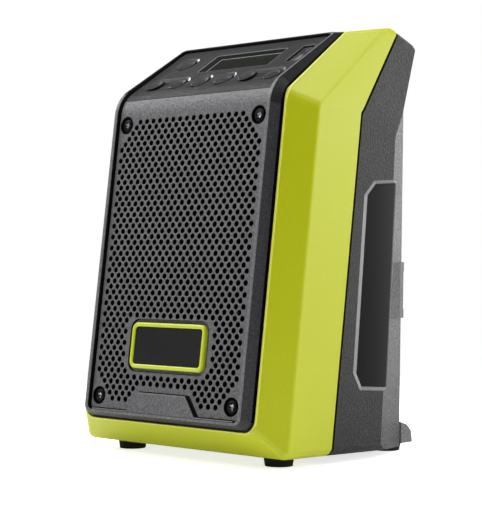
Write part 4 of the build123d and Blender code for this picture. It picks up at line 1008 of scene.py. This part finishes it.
# %% Deck
deck_edge = sheet_edge(42.85, 1.05, 45.7, 0.4, 2.0, ((0.25, 0.0), (0.08, -0.07), (0, -0.25), (0, -2.15)))
deck_shape = perforated(deck_edge, deck_holes, 2.4 * MM)
post_places = [(x, s, 2.2, -8.0) for x, s in ((-13.6, 19.9), (13.6, 19.9), (-36.0, 42.0), (24.0, 42.0))]
post_places += [(29.6, s, 1.8, -14.8) for s in (26.0, 38.0)]
posts = [placed(stack(lathe(((radius, low), (radius, -2.35)), 24)), skin_frame(x * MM, s * MM))
         for x, s, radius, low in post_places]
ears = []
for x, s in rocker_places.values():
    for side in (-1, 1):
        outer = [rounded_box(1.8 * MM, 1.65 * MM, 0.3 * MM, z * MM) for z in (-0.7, 0.7)]
        eye = [circle(0, -0.15 * MM, 0.96 * MM, 28, z * MM, 40) for z in (0.7, -0.7)]
        place = Matrix.Translation((0, side * 3.3 * MM, -4.05 * MM)) @ Matrix.Rotation(radians(-90), 4, "X")
        ears.append(placed(stack(outer + eye, endless=True), skin_frame(x, s) @ place))
deck = new_piece("deck_plate", joined(deck_shape, *posts, *ears), "deck_plastic",
                 stands_for=["control_deck"], sharp=40)
even_shading(deck)

# %% [markdown]
# One patch on the slope of each dish is polished, on the side where a finger slides off, so each
# dish shows one small bright glint. The walls of the display's frame and of the USB slot are
# painted near-black like the grille's holes, as painted shade, and their sharp upper edges and
# the thin edge round the pane are painted paler, as painted highlights.

# %% Polished dishes and dark recesses
finger_places = list(key_places.values()) + [(x + LOBE, s) for x, s in rocker_places.values()]
finger_points = [on_skin(x, s, -0.35 * MM) for x, s in finger_places]
window_point, usb_point = on_skin(*window_place), on_skin(*usb_place)


def polish(centre, normal):
    """True on the slope of a dish towards the upper right."""
    for point in finger_points:
        away = centre - point
        turn = degrees(atan2(away.dot(deck_up), away.x))
        if 4.8 * MM < away.length < 5.95 * MM and 16 < turn < 62 and normal.dot(deck_out) > 0.5:
            return True
    return False


def in_recess(low, high):
    """Test for faces of the two recesses between two heights, in millimetres."""
    def test(centre, normal):
        for point, half_x, half_s in ((window_point, 20.8, 8.1), (usb_point, 3.8, 7.5)):
            away = centre - point
            if abs(away.x) < half_x * MM and abs(away.dot(deck_up)) < half_s * MM:
                return low * MM < away.dot(deck_out) < high * MM
        return False
    return test


def pane_edge(centre, normal):
    """True on the thin edge round the pane."""
    return abs((centre - window_point).x) < 20 * MM and in_recess(-1.34, -1.26)(centre, normal)


refinish(deck, "polished_rim", polish)
# painted shade on the deep walls, painted highlights on the edges above them and round the pane
refinish(deck, "painted_shade_plastic", in_recess(-9, -0.06))
refinish(deck, "painted_edge_highlight", in_recess(-0.055, -0.01))
refinish(deck, "painted_edge_highlight", pane_edge)
print("deck in", len(deck.data.materials), "finishes")

# %% [markdown]
# ## Keys and rockers
# Each key is a rubber-coated button whose top is hollowed for a fingertip, with a rounded rim.
# A rocker is a bar with such a hollow at each end. Under the deck a flange keeps a key in its
# hole, and a pin in the middle of a rocker lets it tilt. The keys ride on their own bodies, so
# they move exactly as the joints of the CAD model say.

# %% Key shapes
hollow_profile = ((0.0, -0.9), (0.4, -0.9), (1.1, -0.86), (1.9, -0.74), (2.6, -0.52), (3.2, -0.28),
                  (3.55, -0.15))
PAD_LIFT = 0.5 * MM                  # the left pad of a rocker stands higher, to be felt


def fingertip(width=1.0, base=-2.5):
    """Rings of a key's upper part: its side, its rounded rim and the hollow for a fingertip."""
    side = ((4.2, base), (4.2, -0.42), (4.14, -0.26), (4.0, -0.16), (3.8, -0.12))
    return lathe([(r * width, out) for r, out in side + hollow_profile[:0:-1]], 48)


def key_shape():
    """Key with the flange that keeps it under the deck."""
    return stack(lathe(((4.8, -3.3), (4.9, -3.2), (4.9, -2.6), (4.8, -2.5)), 48) + fingertip())


def rocker_shape():
    """Lobed bar that carries two round fingertip pads, with its pivot block and feet."""
    bar = ((4.25, 2.4, -2.5), (4.25, 2.4, -0.8), (4.1, 2.25, -0.68), (3.9, 2.1, -0.64))
    shapes = [stack([lobed(*sizes) for sizes in bar])]
    for side in (-1, 1):
        lift = PAD_LIFT if side < 0 else 0.0
        shapes.append(placed(stack(fingertip(0.97, -1.5)), Matrix.Translation((side * LOBE, 0, lift))))
        shapes.append(stack(lathe(((1.6, -3.54), (1.7, -2.45)), 24, side * LOBE)))
    shapes.append(stack([rounded_box(2.3 * MM, 2.3 * MM, 0.4 * MM, z * MM) for z in (-4.8, -2.45)]))
    pin_place = Matrix.Translation((0, 0, -3.9 * MM)) @ Matrix.Rotation(radians(90), 4, "X")
    shapes.append(placed(stack(lathe(((0.9, -4.0), (0.9, 4.0)), 20)), pin_place))
    return joined(*shapes)


for body, (x, s) in {**key_places, **rocker_places}.items():
    shape = key_shape() if body in key_places else rocker_shape()
    cap = new_piece(body + "_cap", placed(shape, skin_frame(x, s)), "key_rubber", body, [body])
    # painted shade: the side walls of keys and rockers are made near-black
    refinish(cap, "painted_shade_plastic", lambda centre, normal: normal.dot(deck_out) < 0.3)

# %% [markdown]
# ## Paths on the side
# On the right side a shallow pocket runs out over the rear crease. Its edge is one open path,
# and everything in it follows that path at some distance, so two helpers do the drawing: one
# moves a path sideways and mitres its corners, and one ends it at the crease.

# %% Paths on the side
crease_low, crease_high = (57.9, 2.7), (68.2, 133.1)
flank_slope = tan(radians(19.7))     # how fast the flank turns inwards behind the crease


def crease_y(z):
    """Depth of the rear side crease at a height."""
    part = (z - crease_low[1]) / (crease_high[1] - crease_low[1])
    return crease_low[0] + (crease_high[0] - crease_low[0]) * part


def offset_path(path, widths):
    """Open path moved to its right by a width for each of its lines."""
    lines = []
    for a, b, width in zip(path, path[1:], widths):
        run = (Vector(b) - Vector(a)).normalized()
        lines.append((Vector(a) + Vector((run.y, -run.x)) * width, run))
    result = [lines[0][0]]
    for (p, u), (q, v) in zip(lines, lines[1:]):
        cross = u.x * v.y - u.y * v.x
        result.append(p + u * (((q.x - p.x) * v.y - (q.y - p.y) * v.x) / cross))
    last_point, last_run = lines[-1]
    return result + [last_point + last_run * (Vector(path[-1]) - Vector(path[-2])).length]


def ended_at_crease(path, behind):
    """The path's two ends moved along it to a distance behind the rear crease."""
    result = list(path)
    for end, inner in ((0, 1), (-1, -2)):
        a, b = path[inner], path[end]
        step = 0.5
        for _ in range(8):
            p = a + (b - a) * step
            step += (crease_y(p.y) + behind - p.x) / (b.x - a.x)
        result[end] = a + (b - a) * step
    return result


def side_ring(x, widths, extra):
    """Points on the right side, x millimetres out, along the pocket's offset edge."""
    path = ended_at_crease(offset_path(pocket, widths), (SIDE_X - x) / flank_slope - extra)
    return [(x * MM, p.x * MM - moved_forward, p.y * MM) for p in path]


SIDE_X = 58.0
pocket = [(66.0, 28.0), (45.0, 29.6), (40.9, 36.3), (48.2, 108.0), (54.4, 113.6), (68.0, 114.4)]
print("crease at half height", round(crease_y(90), 1), "mm deep")

# %% [markdown]
# ## The side inlay
# A bare dark plate lies in the pocket, and a sloping border leads down to it, wide at the front
# and thin above and below. The border is painted pale grey, a painted highlight where its slope
# catches the light. It is one strip with the same four-point section all along, which keeps its
# corners sharp. The plate is a film, so it is smoother than the shell.

# %% Inlay
foot_widths = (0.75, 1.9, 2.7, 1.7, 0.65)
border_lines = [side_ring(57.97, (-0.78,) * 5, 0.05), side_ring(57.02, (0.55, 1.7, 2.5, 1.5, 0.45), 0.05),
                side_ring(56.75, foot_widths, 0.05), side_ring(56.75, (-0.02,) * 5, 0.05)]
border = stack([list(section) for section in zip(*border_lines)])
# the border is painted pale: a painted highlight
new_piece("inlay_border", border, "painted_edge_highlight", sharp=12)
plate_lines = [side_ring(x, [width - grow for width in foot_widths], 0.1)
               for x, grow in ((56.72, -0.12), (57.0, -0.12), (57.02, -0.1))]
new_piece("inlay_plate", stack(plate_lines), "inlay_film", stands_for=["side_inlay"], sharp=20)

# %% [markdown]
# ## Ramps before the latch pads
# The two pads that the battery's catches press on stand proud of the flanks. On a moulding a step
# like that is led in by a long shallow ramp, so that nothing hooks on it. A ramp is a slim wedge
# here: rays sent at the rear shell find the step, and the wedge fills the space in front of it.

# %% Latch ramps
rear_shell = nodes["rear_housing"]
to_shell = rear_shell.matrix_world.inverted()
SINK = 0.02 * MM                     # the wedge is set this deep into the shell


def flank_x(y, z):
    """How far out the shell's right flank lies at a depth and a height, in metres."""
    start = to_shell @ Vector((0.08, y, z))
    hit, spot, normal, index = rear_shell.ray_cast(start, to_shell.to_3x3() @ Vector((-1, 0, 0)))
    return (rear_shell.matrix_world @ spot).x if hit else 0.0


def ramp_section(z):
    """Corners of the wedge at a height: top of the step, its foot and the front of the ramp."""
    ys = [(30 + 0.1 * k) * MM for k in range(160)]
    xs = [flank_x(y, z) for y in ys]
    for before, after, y in zip(xs, xs[1:], ys[1:]):
        if after - before > 0.4 * MM:
            front, foot = y - 9.0 * MM, y + 0.05 * MM
            return [(after - SINK, foot, z), (before - 0.2 * MM, foot, z),
                    (flank_x(front, z) - SINK, front, z)]
    return None


levels = [ramp for ramp in (ramp_section((50 + 0.5 * k) * MM) for k in range(80)) if ramp]
ramp_rings = [levels[0], levels[len(levels) // 2], levels[-1]]
right_ramp = stack(ramp_rings, flip=True)
left_ramp = stack([[(-x, y, z) for x, y, z in ring] for ring in ramp_rings])
new_piece("latch_ramps", joined(right_ramp, left_ramp), "dark_plastic")

# %% [markdown]
# ## Lugs
# Two lugs at the foot of the dock guide the battery. Their outer sides are painted a little
# paler than the rest of the shell: a painted highlight, to match the lit flank beside them. Each
# gets a very thin pale skin.

# %% Lug skins
lug_line = [(83.4, 3.3), (91.0, 3.3), (90.25, 7.9), (87.4, 10.65), (83.4, 11.7)]
skins = []
for side in (-1, 1):
    rings = [[(side * x * MM, y * MM - moved_forward, z * MM) for y, z in lug_line] for x in (49.3, 49.44)]
    skins.append(stack(rings, flip=side < 0))
new_piece("lug_skins", joined(*skins), "painted_lug_highlight")

# %% [markdown]
# ## Printed lines
# Signs are printed on the keys. A texture could draw them, but a thin ribbon stays sharp from
# close by, so each line is a ribbon that follows the hollow of its key.

# %% Ribbons
def hollow_height(radius):
    """Height of a key's hollow at a distance from its middle, in millimetres."""
    profile = hollow_profile[:1] + hollow_profile[2:]
    for (r0, z0), (r1, z1) in zip(profile, profile[1:]):
        if radius <= r1:
            return z0 + (z1 - z0) * (radius - r0) / (r1 - r0)
    return profile[-1][1]


def ribbon(path, width=0.42, step=0.15):
    """Printed line along a path of millimetre points on a key's top."""
    dense = []
    for (ax, ay), (bx, by) in zip(path, path[1:]):
        count = max(1, int(sqrt((bx - ax) ** 2 + (by - ay) ** 2) / step))
        dense += [(ax + (bx - ax) * k / count, ay + (by - ay) * k / count) for k in range(count)]
    dense.append(path[-1])
    rings = []
    for k, (x, y) in enumerate(dense):
        before, after = dense[max(0, k - 1)], dense[min(len(dense) - 1, k + 1)]
        along = (Vector(after) - Vector(before)).normalized()
        side = Vector((-along.y, along.x)) * (width / 2)
        z = hollow_height(sqrt(x * x + y * y))
        rings.append([((x + way * side.x) * MM, (y + way * side.y) * MM, (z + rise) * MM)
                      for way, rise in ((1, 0.05), (1, -0.1), (-1, -0.1), (-1, 0.05))])
    return stack(rings)


print("a line of 2 mm has", len(ribbon([(0, 0), (2, 0)])[0]), "points")

# %% [markdown]
# ## Signs on the keys
# Plain signs tell the keys apart: a power sign, a wave for the radio band, a note for the
# source, arrows to step through stations and minus and plus for loudness. Each sign rides on
# the body of its key, so that it moves with it.

# %% Signs
wave_path = [(-1.9 + 3.8 * k / 24, 0.8 * sin(2 * pi * k / 24)) for k in range(25)]
minus_path = [(-1.4, 0), (1.4, 0)]
signs = {
    "power_button": [(0, [arc(0, -0.1, 1.55, 125, 415), [(0, 0.3), (0, 1.9)]])],
    "mode_button": [(0, [wave_path, arc(0, 0, 2.35, 205, 335)])],
    "source_button": [(0, [arc(-0.75, -1.1, 0.5, 0, 360), [(-0.25, -1.1), (-0.25, 1.7), (1.3, 1.2)]])],
    "tuning_rocker": [(side * LOBE, [[(side * (tip - 1.3), 1.1), (side * tip, 0), (side * (tip - 1.3), -1.1)]
                                     for tip in (1.5, 0.0)]) for side in (-1, 1)],
    "volume_rocker": [(-LOBE, [minus_path]), (LOBE, [minus_path, [(0, -1.4), (0, 1.4)]])],
}
for body, groups in signs.items():
    x, s = key_places.get(body) or rocker_places[body]
    shapes = []
    for dx, paths in groups:
        place = skin_frame(x, s) @ Matrix.Translation((dx, 0, PAD_LIFT if dx < 0 else 0))
        shapes += [placed(ribbon(path), place) for path in paths]
    new_piece(body + "_sign", joined(*shapes), "switch_black", body)
